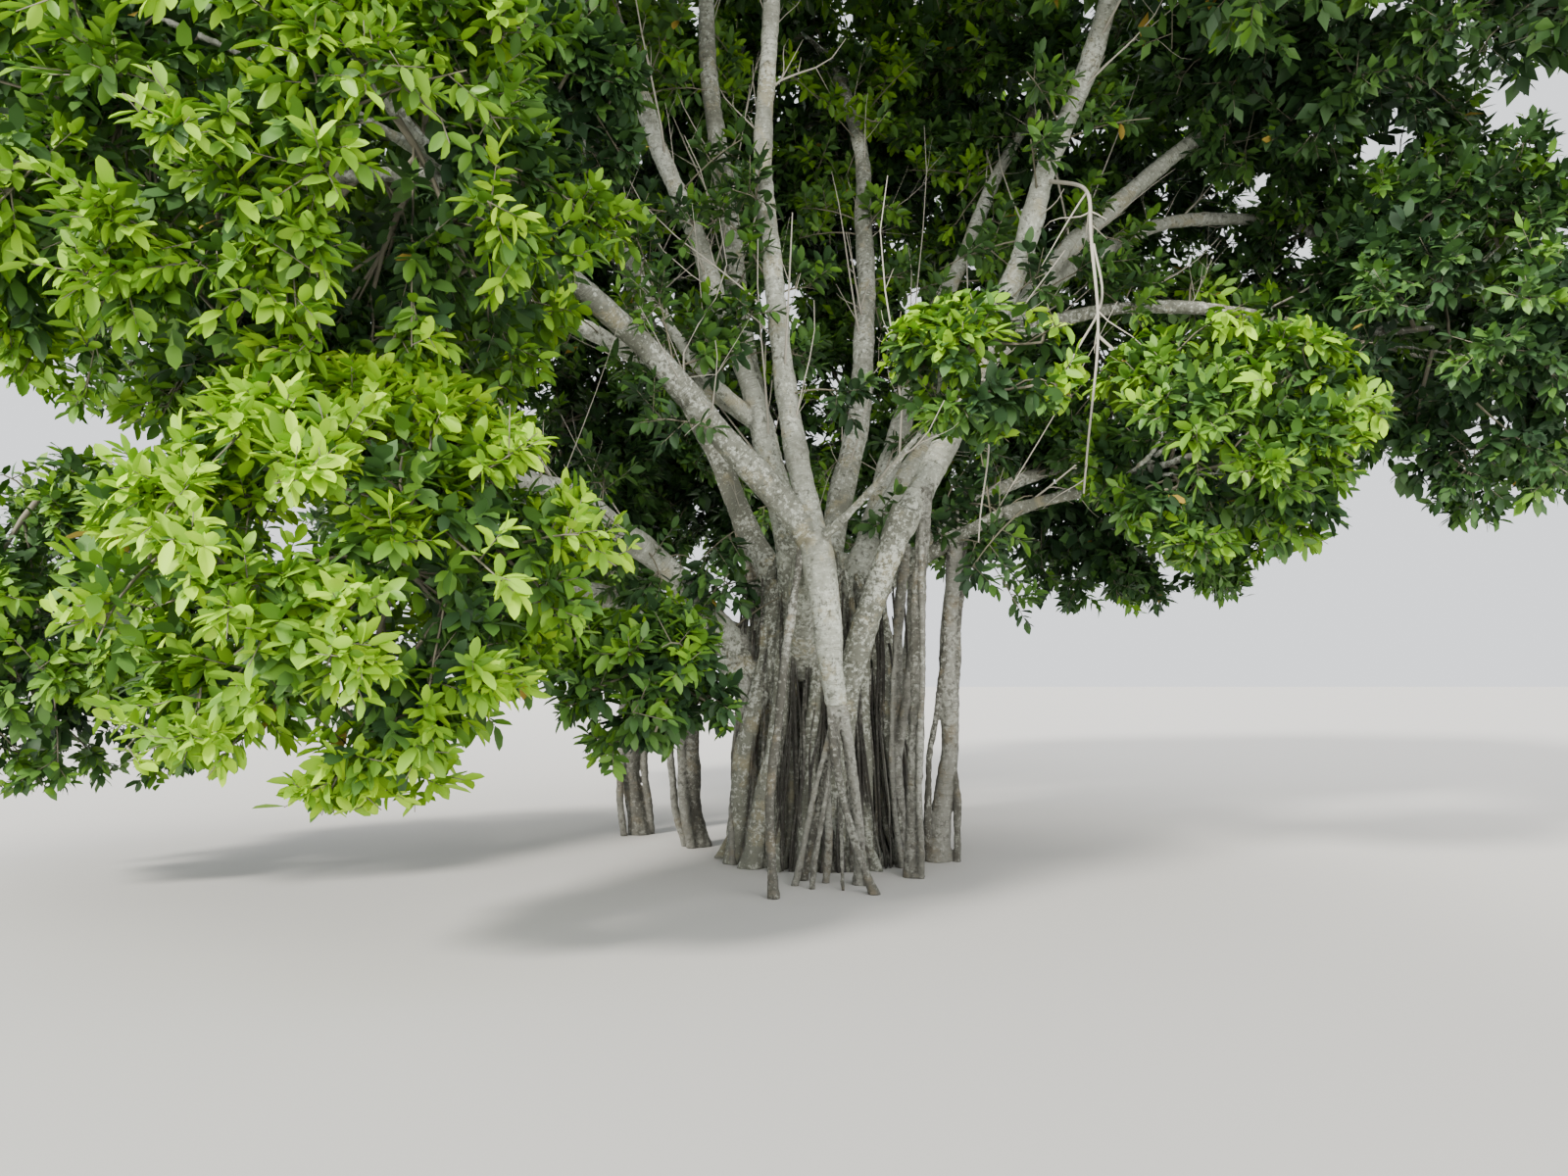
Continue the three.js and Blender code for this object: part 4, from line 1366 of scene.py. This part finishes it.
@dataclass
class BareTwigs:
    """The bleached branch that hangs from a bough, and leafless twigs on the boughs.

    Args:
        radii: The hanging branch's radius at its start and end.
        slim: The same of the hanging twigs.
        line_places: How many places their lines have.
        smoothings: How often their corners are rounded.
        side_twigs: How many twigs the hanging branch has.
        per_metre: How many leafless twigs a metre of bough has.
    """

    radii: tuple[float, float] = (0.0165, 0.007)
    slim: tuple[float, float] = (0.011, 0.005)
    line_places: int = 41
    smoothings: int = 16
    side_twigs: int = 9
    per_metre: float = 2.2

    def rounded(self, corners: Sequence[Point]) -> np.ndarray:
        """A line through some places, rounded at its corners.

        Args:
            corners: The places.

        Returns:
            The line.
        """
        places = np.array(corners)
        fine = np.linspace(0, len(places) - 1, self.line_places)
        line = np.stack([np.interp(fine, range(len(places)), places[:, k]) for k in range(3)], axis=1)
        for _ in range(self.smoothings):
            line[1:-1] = (line[:-2] + 2 * line[1:-1] + line[2:]) / 4
        wave = np.sin(np.linspace(0, 11, len(fine))) * np.sin(np.linspace(0, math.pi, len(fine)))
        line[:, 0] += 0.02 * wave
        line[:, 2] += 0.01 * wave
        return line

    @staticmethod
    def sprout(
        starts: np.ndarray, ways: np.ndarray, lengths: np.ndarray, thick: np.ndarray, sag: float
    ) -> Pair:
        """Tapering twigs that bend a little.

        Args:
            starts: Where they start.
            ways: Which way they set out.
            lengths: How long they are.
            thick: Their radii where they start.
            sag: How far they bend down, as a share of their length.

        Returns:
            Their paths and radii.
        """
        random = np.random.default_rng(len(starts))
        t = np.linspace(0, 1, 6)[None, :, None]
        swing = random.normal(0, 0.45, (len(starts), 1, 3)) * t * (1.4 - t)
        paths = starts[:, None] + (ways[:, None] + swing) * lengths[:, None, None] * t
        paths[:, :, 2] -= sag * lengths[:, None] * t[..., 0] ** 2
        return paths, thick[:, None] * (1 - 0.72 * t[..., 0])

    def on_boughs(self, lines: list[Line]) -> tuple[np.ndarray, ...]:
        """Where leafless twigs grow on the boughs.

        Args:
            lines: Every limb's line and radii.

        Returns:
            Where each starts, which way it sets out, its length and its radius.
        """
        random = np.random.default_rng(51)
        starts, ways, lengths, thick = [], [], [], []
        for name, line, radii in lines:
            if not name.startswith("bough"):
                continue
            metres = np.linalg.norm(np.diff(line, axis=0), axis=1).sum()
            count = int(metres * self.per_metre)
            places = random.integers(5, len(line) - 3, count)
            onward = unit(line[places + 1] - line[places - 1])
            first, second = basis(onward)
            angle = random.uniform(0, FULL_TURN, count)[:, None]
            side = first * np.cos(angle) + second * np.sin(angle)
            starts.append(line[places])
            ways.append(unit(side * 0.6 + onward * random.uniform(0.5, 1.3, (count, 1)) + UP * 0.3))
            lengths.append(random.uniform(0.4, 1.6, count))
            thick.append(random.uniform(0.004, 0.012, count))
        return tuple(np.concatenate(x) for x in (starts, ways, lengths, thick))

    def build(self, lines: list[Line]) -> list[bpy.types.Object]:
        """Builds the hanging branch and every leafless twig as one mesh.

        Args:
            lines: Every limb's line and radii.

        Returns:
            The mesh.
        """
        random = np.random.default_rng(12)
        line = self.rounded(DEAD_BRANCH)
        radii = np.linspace(*self.radii, len(line))
        slim = np.array([self.rounded(corners) for corners in HANGING_TWIGS])
        parts = [tube_arrays(line[None], radii[None], 7)]
        parts.append(tube_arrays(slim, np.linspace(*self.slim, slim.shape[1])[None].repeat(len(slim), 0), 5))
        places = np.sort(random.integers(8, self.line_places - 1, self.side_twigs))
        ways = unit(random.normal(size=(self.side_twigs, 3)) * (1, 1, 0.5) + (0, 0, -0.9))
        lengths = random.uniform(0.15, 0.6, self.side_twigs)
        parts.append(tube_arrays(*self.sprout(line[places], ways, lengths, radii[places] * 0.6, 0.12), 4))
        twigs = self.sprout(*self.on_boughs(lines), -0.08)
        parts.append(tube_arrays(*twigs, 5))
        which = random.integers(0, len(twigs[0]), 3 * len(twigs[0]))
        step = random.integers(1, 5, len(which))
        starts = twigs[0][which, step]
        onward = unit(twigs[0][which, step] - twigs[0][which, step - 1])
        ways = unit(onward + random.normal(size=onward.shape) * 0.55)
        lengths = random.uniform(0.1, 0.4, len(which))
        parts.append(tube_arrays(*self.sprout(starts, ways, lengths, twigs[1][which, step] * 0.6, 0.0), 4))
        made = mesh_object("bare_twigs", *merged(parts))
        made.data.materials.append(DEAD.material())
        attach(made, "root")
        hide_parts("dead_branch")
        return [made]


@dataclass
class Space:
    """A mass's own space: its rounded reach, up to planes between it and its neighbours.

    Args:
        mass: The mass.
        ways: Which way each plane lies from the mass's middle.
        edges: How far from there each plane is.
    """

    mass: Mass
    ways: np.ndarray
    edges: np.ndarray

    @classmethod
    def of(cls, name: str, beyond: float) -> "Space":
        """The space of a named mass.

        Args:
            name: The mass.
            beyond: How far it mingles with its neighbours past the planes.

        Returns:
            Its space.
        """
        mass = MASSES[name]
        others = [m for other, m in MASSES.items() if other != name]
        ways = np.array([m.middle for m in others]) - np.array(mass.middle)
        apart = np.linalg.norm(ways, axis=1)
        sizes = np.array([m.size for m in others])
        edges = (apart**2 + mass.size**2 - sizes**2) / (2 * apart) + beyond
        return cls(mass, unit(ways), edges)

    @property
    def middle(self) -> np.ndarray:
        """The mass's middle."""
        return np.array(self.mass.middle)

    def holds(self, places: np.ndarray) -> np.ndarray:
        """Whether places, given from the mass's middle, are inside."""
        rounded = np.linalg.norm(places / np.array(self.mass.reach), axis=-1) <= 1
        return rounded & np.all(places @ self.ways.T <= self.edges, axis=-1)

    def reach(self, directions: np.ndarray) -> np.ndarray:
        """How far the space reaches in some directions, found by halving.

        Args:
            directions: Unit vectors.

        Returns:
            Offsets from the mass's middle to its edge.
        """
        full = directions * np.array(self.mass.reach)
        near, far = np.zeros(len(directions)), np.ones(len(directions))
        for _ in range(HALVINGS):
            share = (near + far) / 2
            held = self.holds(full * share[:, None])
            near, far = np.where(held, share, near), np.where(held, far, share)
        return full * near[:, None]


@dataclass(frozen=True)
class Leaves:
    """Leaves of one kind.

    Args:
        blade: Their kind.
        roots: Where each grows from its twig.
        ways: Which way each points.
        normals: Which way each faces.
        lengths: How long each is.
        tints: The place of each one's colour in the table of tints.
    """

    blade: Blade
    roots: np.ndarray
    ways: np.ndarray
    normals: np.ndarray
    lengths: np.ndarray
    tints: np.ndarray

    def triangle_total(self) -> int:
        """How many triangles they come to."""
        return len(self.roots) * len(self.blade.outline()[1])

    def arrays(self) -> tuple[np.ndarray, np.ndarray, np.ndarray]:
        """Their mesh.

        Returns:
            Its vertices and triangles, and each triangle's tint.
        """
        corners, faces = self.blade.outline()
        axes = np.stack([self.ways, np.cross(self.normals, self.ways), self.normals], axis=1)
        vertices = self.roots[:, None] + corners @ (axes * self.lengths[:, None, None])
        triangles = faces[None] + (np.arange(len(self.roots)) * len(corners))[:, None, None]
        return vertices.reshape(-1, 3), triangles.reshape(-1, 3), self.tints.repeat(len(faces))


@dataclass(frozen=True)
class Shoots:
    """Leafy shoots that stand on boughs.

    Args:
        count: How many.
        boughs: How the names of those boughs begin.
        places: The first place on a bough's line that has them, and the place past the last.
        lengths: The shortest and the longest.
        seed: What they are drawn from.
        sprays: How many sprays each has.
    """

    count: int
    boughs: tuple[str, ...]
    places: tuple[int, int]
    lengths: tuple[float, float]
    seed: int
    sprays: int = 7


SHOOTS = (
    Shoots(110, ("bough_left", "bough_up", "bough_right_l"), (8, 34), (0.25, 0.75), 611),
    Shoots(76, ("bough_left_flat", "bough_left_mid", "bough_back"), (22, 43), (0.4, 1.1), 612),
)
# The mass whose piece takes in the shoots' leaves, and the wide space that shoots grow in
SHOOTS_WITH = "foliage_inner_left"
WHOLE_CROWN = Mass((-0.4, -0.4, 3.6), (5.0, 5.0, 5.0), "", 0.62, FRONT)


@dataclass
class Foliage:
    """Every mass of leaves: twigs that branch three times from a mass's stem, and sprays of leaves on them.

    Args:
        box: The corners of the solids' box, which leaves stay in.
        limbs: Every root and limb, which sprays keep clear of.
        mains: How many main twigs a mass has, and how many more for each metre of its size.
        clumps: The same of its clumps of branches.
        twig_share: How far main twigs go towards a mass's edge.
        main_tip: A main twig's radius at its tip.
        branch_radii: A branch's radius at its start and at its tip.
        shoot_radii: The same of a leafy shoot.
        spray_radii: The same of a spray's fine twig.
        sprays_to_branch: How many outer sprays there are for each branch.
        fewest_branches: How many branches the smallest mass has.
        clearance: How far sprays stay from a limb's side.
        inside_light: How bright leaves inside a mass are painted, as a share of the others there: painted
            shade.
        tint_span: How many tints a mass's painted light spreads over.
        old_share: The share of leaves that have turned.
        piece_limit: The most triangles that a piece has.
        twigs: The tubes of all twigs so far.
    """

    box: tuple[Vector, Vector]
    limbs: list[Line]
    mains: tuple[int, int] = (7, 5)
    clumps: tuple[int, int] = (8, 9)
    twig_share: float = 0.65
    main_tip: float = 0.009
    branch_radii: tuple[float, float] = (0.011, 0.004)
    shoot_radii: tuple[float, float] = (0.009, 0.004)
    spray_radii: tuple[float, float] = (0.005, 0.0025)
    sprays_to_branch: int = 9
    fewest_branches: int = 14
    clearance: float = 0.04
    inside_light: float = 0.64
    tint_span: float = 8.4
    old_share: float = 0.0012
    piece_limit: int = 195000
    twigs: list[Pair] = field(default_factory=list)

    def keep_twigs(self, paths: np.ndarray, radii: tuple[float, float], sides: int) -> None:
        """Stores twigs that taper from one radius to another."""
        tapering = np.linspace(*radii, paths.shape[1])[None].repeat(len(paths), 0)
        self.twigs.append(tube_arrays(paths, tapering, sides))

    def grow(self, name: str, number: int) -> list[Leaves]:
        """Grows one mass: a stem, main twigs, branches, sprays and leaves.

        Args:
            name: The mass.
            number: Its place in the table, which seeds it.

        Returns:
            Its outer and its inner leaves.
        """
        mass = MASSES[name]
        dress = mass.leafage.value
        space = Space.of(name, dress.mingling)
        turn = 2 * math.pi * seeded(number + FIRST_SEED)()
        random = np.random.default_rng(LEAF_SEED + number)
        stem, thick = inner_stem(name)

        count = round(self.mains[0] + self.mains[1] * mass.size)
        directions = even_directions(count, turn)
        ends = space.middle + space.reach(directions) * self.twig_share
        wood = np.concatenate([stem[4:], *(line[5:] for line, _ in leaders(name))])
        near = np.linalg.norm(wood[None] - ends[:, None], axis=-1)
        hubs = wood[(near + random.uniform(0, 0.5, near.shape)).argmin(1)]
        drift = random.normal(size=(count, 3)) * 0.1 + UP * 0.06
        mains = bent(hubs, hubs + (ends - hubs) * 0.45 + drift * mass.size, ends, TWIG_PLACES)
        self.keep_twigs(mains, (thick[-1] * STEM_TAPER, self.main_tip), 5)

        area = 4 * math.pi * mass.size**2
        sprays = round(dress.sprays * area)
        branch_count = max(self.fewest_branches, sprays // self.sprays_to_branch)
        tips, nearest = self.clump_tips(space, directions, branch_count, turn, random)
        roots = mains[nearest, random.integers(1, TWIG_PLACES, branch_count)]
        bends = roots + (tips - roots) * 0.5 + UP * 0.1 + random.normal(size=tips.shape) * 0.07
        branches = bent(roots, bends, tips, TWIG_PLACES)
        self.keep_twigs(branches, self.branch_radii, 3)

        leaves = []
        for paths, wanted, blade, span, power in (
            (branches, sprays, dress.blade, (0.25, 1.0), 0.5),
            (branches, round(dress.inner * area), dress.shaded, (0.1, 0.62), 1.0),
            (mains, dress.hidden * count, dress.shaded, (0.0, 0.9), 1.0),
        ):
            which = random.integers(0, len(paths), wanted)
            share = random.uniform(*span, wanted) ** power
            leaves.append(self.spray(space, paths, which, share, blade, random))
        return leaves

    def shoot_leaves(self, shoots: Shoots) -> Leaves:
        """Leafy shoots on some boughs.

        Args:
            shoots: Which shoots.

        Returns:
            Their leaves.
        """
        random = np.random.default_rng(shoots.seed)
        lines = [line for name, line, _ in self.limbs if name.startswith(shoots.boughs)]
        chosen = random.integers(0, len(lines), shoots.count)
        starts = np.array([lines[i][random.integers(*shoots.places)] for i in chosen])
        ways = unit(random.normal(size=starts.shape) * (1, 1, 0.7) + UP * 0.3)
        ends = starts + ways * random.uniform(*shoots.lengths, (shoots.count, 1))
        paths = bent(starts, (starts + ends) / 2 + UP * 0.08, ends, TWIG_PLACES)
        self.keep_twigs(paths, self.shoot_radii, 4)
        space = Space(WHOLE_CROWN, np.zeros((1, 3)), np.ones(1))
        which = np.arange(shoots.count).repeat(shoots.sprays)
        share = random.uniform(0.35, 1.0, len(which))
        return self.spray(space, paths, which, share, WHOLE_CROWN.leafage.value.blade, random)

    def clump_tips(
        self, space: Space, mains: np.ndarray, count: int, turn: float, random: np.random.Generator
    ) -> Pair:
        """Where a mass's branches end: in uneven clumps that stand out round it.

        Args:
            space: The mass's space.
            mains: The directions of its main twigs.
            count: How many branches it has.
            turn: How far the clumps are turned about the vertical.
            random: Where the numbers come from.

        Returns:
            The tips, and the main twig that each branch leaves.
        """
        dress, size = space.mass.leafage.value, space.mass.size
        clumps = round(self.clumps[0] + self.clumps[1] * size)
        shell = even_directions(clumps, turn + 1)
        shell = unit(shell + random.normal(size=shell.shape) * 0.2)
        centres = space.reach(shell) * random.uniform(*dress.depth, (clumps, 1))
        broad = size * random.uniform(*dress.broad, (clumps, 1))
        which = np.arange(count) % clumps
        out = unit(random.normal(size=(count, 3)) + shell[which] * 0.9)
        offsets = centres[which] + out * broad[which] * (1, 1, 0.8) * random.uniform(0.55, 1.0, (count, 1))
        loose = np.flatnonzero(random.uniform(size=count) < dress.loose)
        spread = space.reach(even_directions(len(loose), turn + 2))
        offsets[loose] = spread * random.uniform(0.35, 0.95, (len(loose), 1))
        limit = np.linalg.norm(space.reach(unit(offsets)), axis=1) * random.uniform(0.86, 0.97, count)
        far = np.linalg.norm(offsets, axis=1)
        offsets = offsets * np.minimum(1, limit / np.maximum(far, 1e-6))[:, None]
        return space.middle + offsets, (unit(offsets) @ mains.T).argmax(1)

    def spray(
        self,
        space: Space,
        branches: np.ndarray,
        which: np.ndarray,
        share: np.ndarray,
        blade: Blade,
        random: np.random.Generator,
    ) -> Leaves:
        """Sprays on branches: a fine twig each, with leaves round it.

        Args:
            space: The space of the mass that they belong to.
            branches: The branches' paths.
            which: The branch of each spray.
            share: How far along it each spray starts.
            blade: The kind of leaf.
            random: Where the numbers come from.

        Returns:
            The leaves.
        """
        step = np.clip(share * (TWIG_PLACES - 1), 0, TWIG_PLACES - 1.001)
        low = step.astype(int)
        bases = branches[which, low]
        bases = bases + (branches[which, low + 1] - bases) * (step - low)[:, None]
        outward = unit((bases - space.middle) / np.array(space.mass.reach) ** 2)
        ways = unit(outward * 0.75 + random.normal(size=bases.shape) * 0.6 + UP * 0.12)
        small = min(1.0, 0.6 + 0.25 * space.mass.size)
        lengths = random.uniform(1.3, 2.6, len(bases)) * blade.length * small
        ends = bases + ways * lengths[:, None]
        fine = space.holds(ends - space.middle) & self.clear_of_limbs(bases) & self.clear_of_limbs(ends)
        bases, ways, lengths, ends, outward = (x[fine] for x in (bases, ways, lengths, ends, outward))
        if not blade.inside:
            self.keep_twigs(np.stack([bases, ends], axis=1), self.spray_radii, 3)
        return self.leaves(space, bases, ways, lengths, outward, blade, random)

    def clear_of_limbs(self, places: np.ndarray) -> np.ndarray:
        """Whether places keep clear of every limb.

        Args:
            places: The places.

        Returns:
            True for each place that does.
        """
        clear = np.ones(len(places), bool)
        for _, line, radii in self.limbs:
            near = near_line(places, line, 0.2)
            if len(near):
                apart = np.linalg.norm(places[near][:, None] - line[None], axis=-1) - radii
                clear[near] &= apart.min(1) > self.clearance
        return clear

    def leaves(
        self,
        space: Space,
        bases: np.ndarray,
        ways: np.ndarray,
        lengths: np.ndarray,
        outward: np.ndarray,
        blade: Blade,
        random: np.random.Generator,
    ) -> Leaves:
        """The leaves of some sprays, set in a spiral round each twig and closer towards its end.

        Args:
            space: The space of the mass that they belong to, which leaves stay in.
            bases: Where the sprays start.
            ways: Which way they point.
            lengths: How long they are.
            outward: Which way is out of the mass.
            blade: The kind of leaf.
            random: Where the numbers come from.

        Returns:
            The leaves.
        """
        shape = (len(bases), blade.each)
        share = np.linspace(0.12, 1.0, blade.each)[None] ** 0.8 + random.uniform(-0.04, 0.04, shape)
        roots = bases[:, None] + ways[:, None] * (lengths[:, None] * share)[..., None]
        first, second = basis(ways)
        angle = np.arange(blade.each)[None] * GOLDEN_ANGLE + random.uniform(0, FULL_TURN, (len(bases), 1))
        lean = first[:, None] * np.cos(angle)[..., None] + second[:, None] * np.sin(angle)[..., None]
        forward = (0.3 + 0.9 * share**3)[..., None]
        leaf_ways = ways[:, None] * forward + lean * (1.0 - 0.35 * share[..., None] ** 3)
        leaf_ways = leaf_ways + random.normal(size=(*shape, 3)) * 0.16
        leaf_ways[..., 2] -= random.uniform(-0.15, 0.45, shape)
        leaf_ways = unit(leaf_ways)
        facing = UP + outward[:, None] * 0.35 + random.normal(size=(*shape, 3)) * 0.4 + lean * 0.12
        normals = np.cross(leaf_ways, unit(np.cross(facing, leaf_ways)))
        long = blade.length * random.normal(1, 0.15, shape).clip(0.6, 1.35)
        tips = roots + leaf_ways * long[..., None]
        tints = self.tints(space, bases, outward, blade, random)
        low, high = (np.array(corner) for corner in self.box)
        held = space.holds(tips - space.middle) & np.all((tips > low) & (tips < high), axis=-1)
        return Leaves(blade, roots[held], leaf_ways[held], normals[held], long[held], tints[held])

    def tints(
        self, space: Space, bases: np.ndarray, outward: np.ndarray, blade: Blade, random: np.random.Generator
    ) -> np.ndarray:
        """Deals out the leaves' colours by spray as painted light and shade: brighter at a mass's edge, above
        and towards the light.

        Args:
            space: The space of the mass that the sprays belong to.
            bases: Where they start.
            outward: Which way is out of the mass.
            blade: The kind of leaf.
            random: Where the numbers come from.

        Returns:
            Sprays by leaves: the place of each leaf's colour in the table of tints.
        """
        mass = space.mass
        shape = (len(bases), blade.each)
        # Painted light and shade: leaves at a mass's edge, facing up and towards the light are painted
        # brighter
        outside = np.linalg.norm((bases - mass.middle) / np.array(mass.reach), axis=1)
        lit = outward @ np.array([-0.55 if mass.middle[0] < 0 else 0.85, -0.35, 0.6])
        # Sprays that face away from the camera get back some brightness, so a dim mass's painted shade is
        # weaker behind
        behind = 2.4 * np.clip(outward[:, 1], 0, 1) * (1 - mass.light)
        bright = self.tint_span * mass.light * (0.3 + 0.7 * outside**2) + 0.9 * lit + behind
        # Leaves inside a mass are painted darker as shade
        if blade.inside:
            bright = bright * self.inside_light
        bright = bright[:, None] + random.normal(0, 0.8, (len(bases), 1)) + random.normal(0, 0.45, shape)
        tints = np.clip(np.round(bright), 0, OLD_LEAF - 1).astype(int)
        return np.where(random.uniform(size=shape) < self.old_share, OLD_LEAF, tints)

    def leaf_mesh(self, name: str, grown: list[Leaves]) -> bpy.types.Object:
        """Joins leaves into one mesh.

        Args:
            name: The mesh's name.
            grown: Leaves of several masses and kinds.

        Returns:
            The mesh, with a material for each tint.
        """
        parts = [some.arrays() for some in grown]
        made = mesh_object(name, *merged(parts), np.concatenate([part[2] for part in parts]))
        for tint in LEAF_TINTS:
            made.data.materials.append(bpy.data.materials.get(tint.name) or tint.material())
        return made

    def twig_meshes(self) -> list[bpy.types.Object]:
        """Joins all twigs into pieces that stay under the limit.

        Returns:
            The pieces.
        """
        pieces: list[list[Pair]] = [[]]
        for some in self.twigs:
            if sum(len(part[1]) for part in pieces[-1]) + len(some[1]) > self.piece_limit:
                pieces.append([])
            pieces[-1].append(some)
        material = TWIG.material()
        made = []
        for number, parts in enumerate(pieces):
            twigs = mesh_object(f"twigs_{number}", *merged(parts))
            twigs.data.materials.append(material)
            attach(twigs, "root")
            made.append(twigs)
        return made

    @staticmethod
    def groups() -> dict[str, list[str]]:
        """The masses whose leaves are joined, by where they stand in the crown.

        Returns:
            The names of the masses under the beginning of their piece's name.
        """
        found: dict[str, list[str]] = {}
        for name, mass in MASSES.items():
            x, y, z = mass.middle
            side = "left" if x < -1 else "right" if x > 1 else "middle"
            depth, level = "back" if y > 2 else "front", "high" if z > 6 else "low"
            found.setdefault(f"leaves_{depth}_{side}_{level}", []).append(name)
        return found

    def build(self) -> list[bpy.types.Object]:
        """Grows every mass and joins leaves and twigs into pieces.

        Returns:
            The pieces.
        """
        order = list(MASSES)
        shoots = {SHOOTS_WITH: [self.shoot_leaves(some) for some in SHOOTS]}
        batches: list[tuple[str, list[str], list[Leaves]]] = []
        for label, names in self.groups().items():
            room = 0
            for name in names:
                grown = self.grow(name, order.index(name)) + shoots.get(name, [])
                count = sum(some.triangle_total() for some in grown)
                if count > room:
                    batches.append((f"{label}_{len(batches)}", [], []))
                    room = self.piece_limit
                batches[-1][1].append(name)
                batches[-1][2].extend(grown)
                room -= count
        pieces = []
        for label, names, grown in batches:
            made = self.leaf_mesh(label, grown)
            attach(made, "root")
            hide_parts(*names)
            pieces.append(made)
        return pieces + self.twig_meshes()


@dataclass(frozen=True)
class Studio:
    """A pale floor, soft light and a camera that stands where the photographer's eye was.

    Args:
        eye: The camera's place.
        rise: How far it looks up, in degrees.
        lens: Its focal length in millimetres.
        sensor: The width of its sensor in millimetres.
        sight: How far it sees.
        floor_size: How wide the floor is.
        floor_drop: How far the floor lies below the ground.
        sky_strength: How bright the sky is.
        lamps: Each lamp's name and power, and its width and turn in degrees.
    """

    eye: Point = (-0.23, -9.2, 1.6)
    rise: float = 3.1
    lens: float = 27.05
    sensor: float = 36.0
    sight: float = 500.0
    floor_size: float = 90.0
    floor_drop: float = 0.002
    sky_strength: float = 1.5
    lamps: tuple[tuple[str, float, float, Point], ...] = (
        ("key", 6.0, 9, (57, 0, -46)),
        ("fill", 1.6, 40, (66, 0, 30)),
        ("under_crown", 1.1, 35, (82, 0, -4)),
        ("back", 2.0, 25, (48, 0, 150)),
    )

    def floor(self) -> None:
        """A plain pale floor."""
        deselect()
        bpy.ops.mesh.primitive_plane_add(size=self.floor_size, location=(0, 0, -self.floor_drop))
        ground = bpy.context.object
        ground.name = "studio_floor"
        ground.data.materials.append(PlainFinish("studio_grey", (0.52, 0.51, 0.49), 0.9).material())
        ground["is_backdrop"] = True

    def lights(self) -> None:
        """A bright even sky, a soft key from the left in front, and weaker lights that fill the shade."""
        world = bpy.data.worlds.new("studio_sky")
        world.use_nodes = True
        sky = world.node_tree.nodes["Background"]
        sky.inputs["Color"].default_value = (0.93, 0.96, 1.0, 1)
        sky.inputs["Strength"].default_value = self.sky_strength
        bpy.context.scene.world = world
        for name, power, width, turn in self.lamps:
            light = bpy.data.lights.new(name, "SUN")
            light.energy = power
            light.angle = math.radians(width)
            light.color = (1.0, 0.96, 0.88)
            lamp = bpy.data.objects.new(name, light)
            lamp.rotation_euler = [math.radians(x) for x in turn]
            bpy.context.scene.collection.objects.link(lamp)

    def camera(self) -> None:
        """The camera at the photograph's viewing angle."""
        data = bpy.data.cameras.new("camera")
        data.lens = self.lens
        data.sensor_width = self.sensor
        data.clip_end = self.sight
        camera = bpy.data.objects.new("camera", data)
        camera.location = self.eye
        camera.rotation_euler = (math.radians(90 + self.rise), 0, 0)
        bpy.context.scene.collection.objects.link(camera)
        bpy.context.scene.camera = camera


def main() -> None:
    """Builds the tree on its frame and sets the studio round it."""
    logging.basicConfig(level=logging.INFO, format="%(message)s")
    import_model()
    solid_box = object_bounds()
    timber = Timber()
    pieces = timber.build()
    pieces += BareTwigs().build(timber.lines)
    pieces += Foliage(solid_box, timber.lines).build()
    for piece in pieces:
        LOG.info("%s: %d triangles", piece.name, triangle_count(piece))
    studio = Studio()
    studio.floor()
    studio.lights()
    studio.camera()


if __name__ == "__main__":
    main()
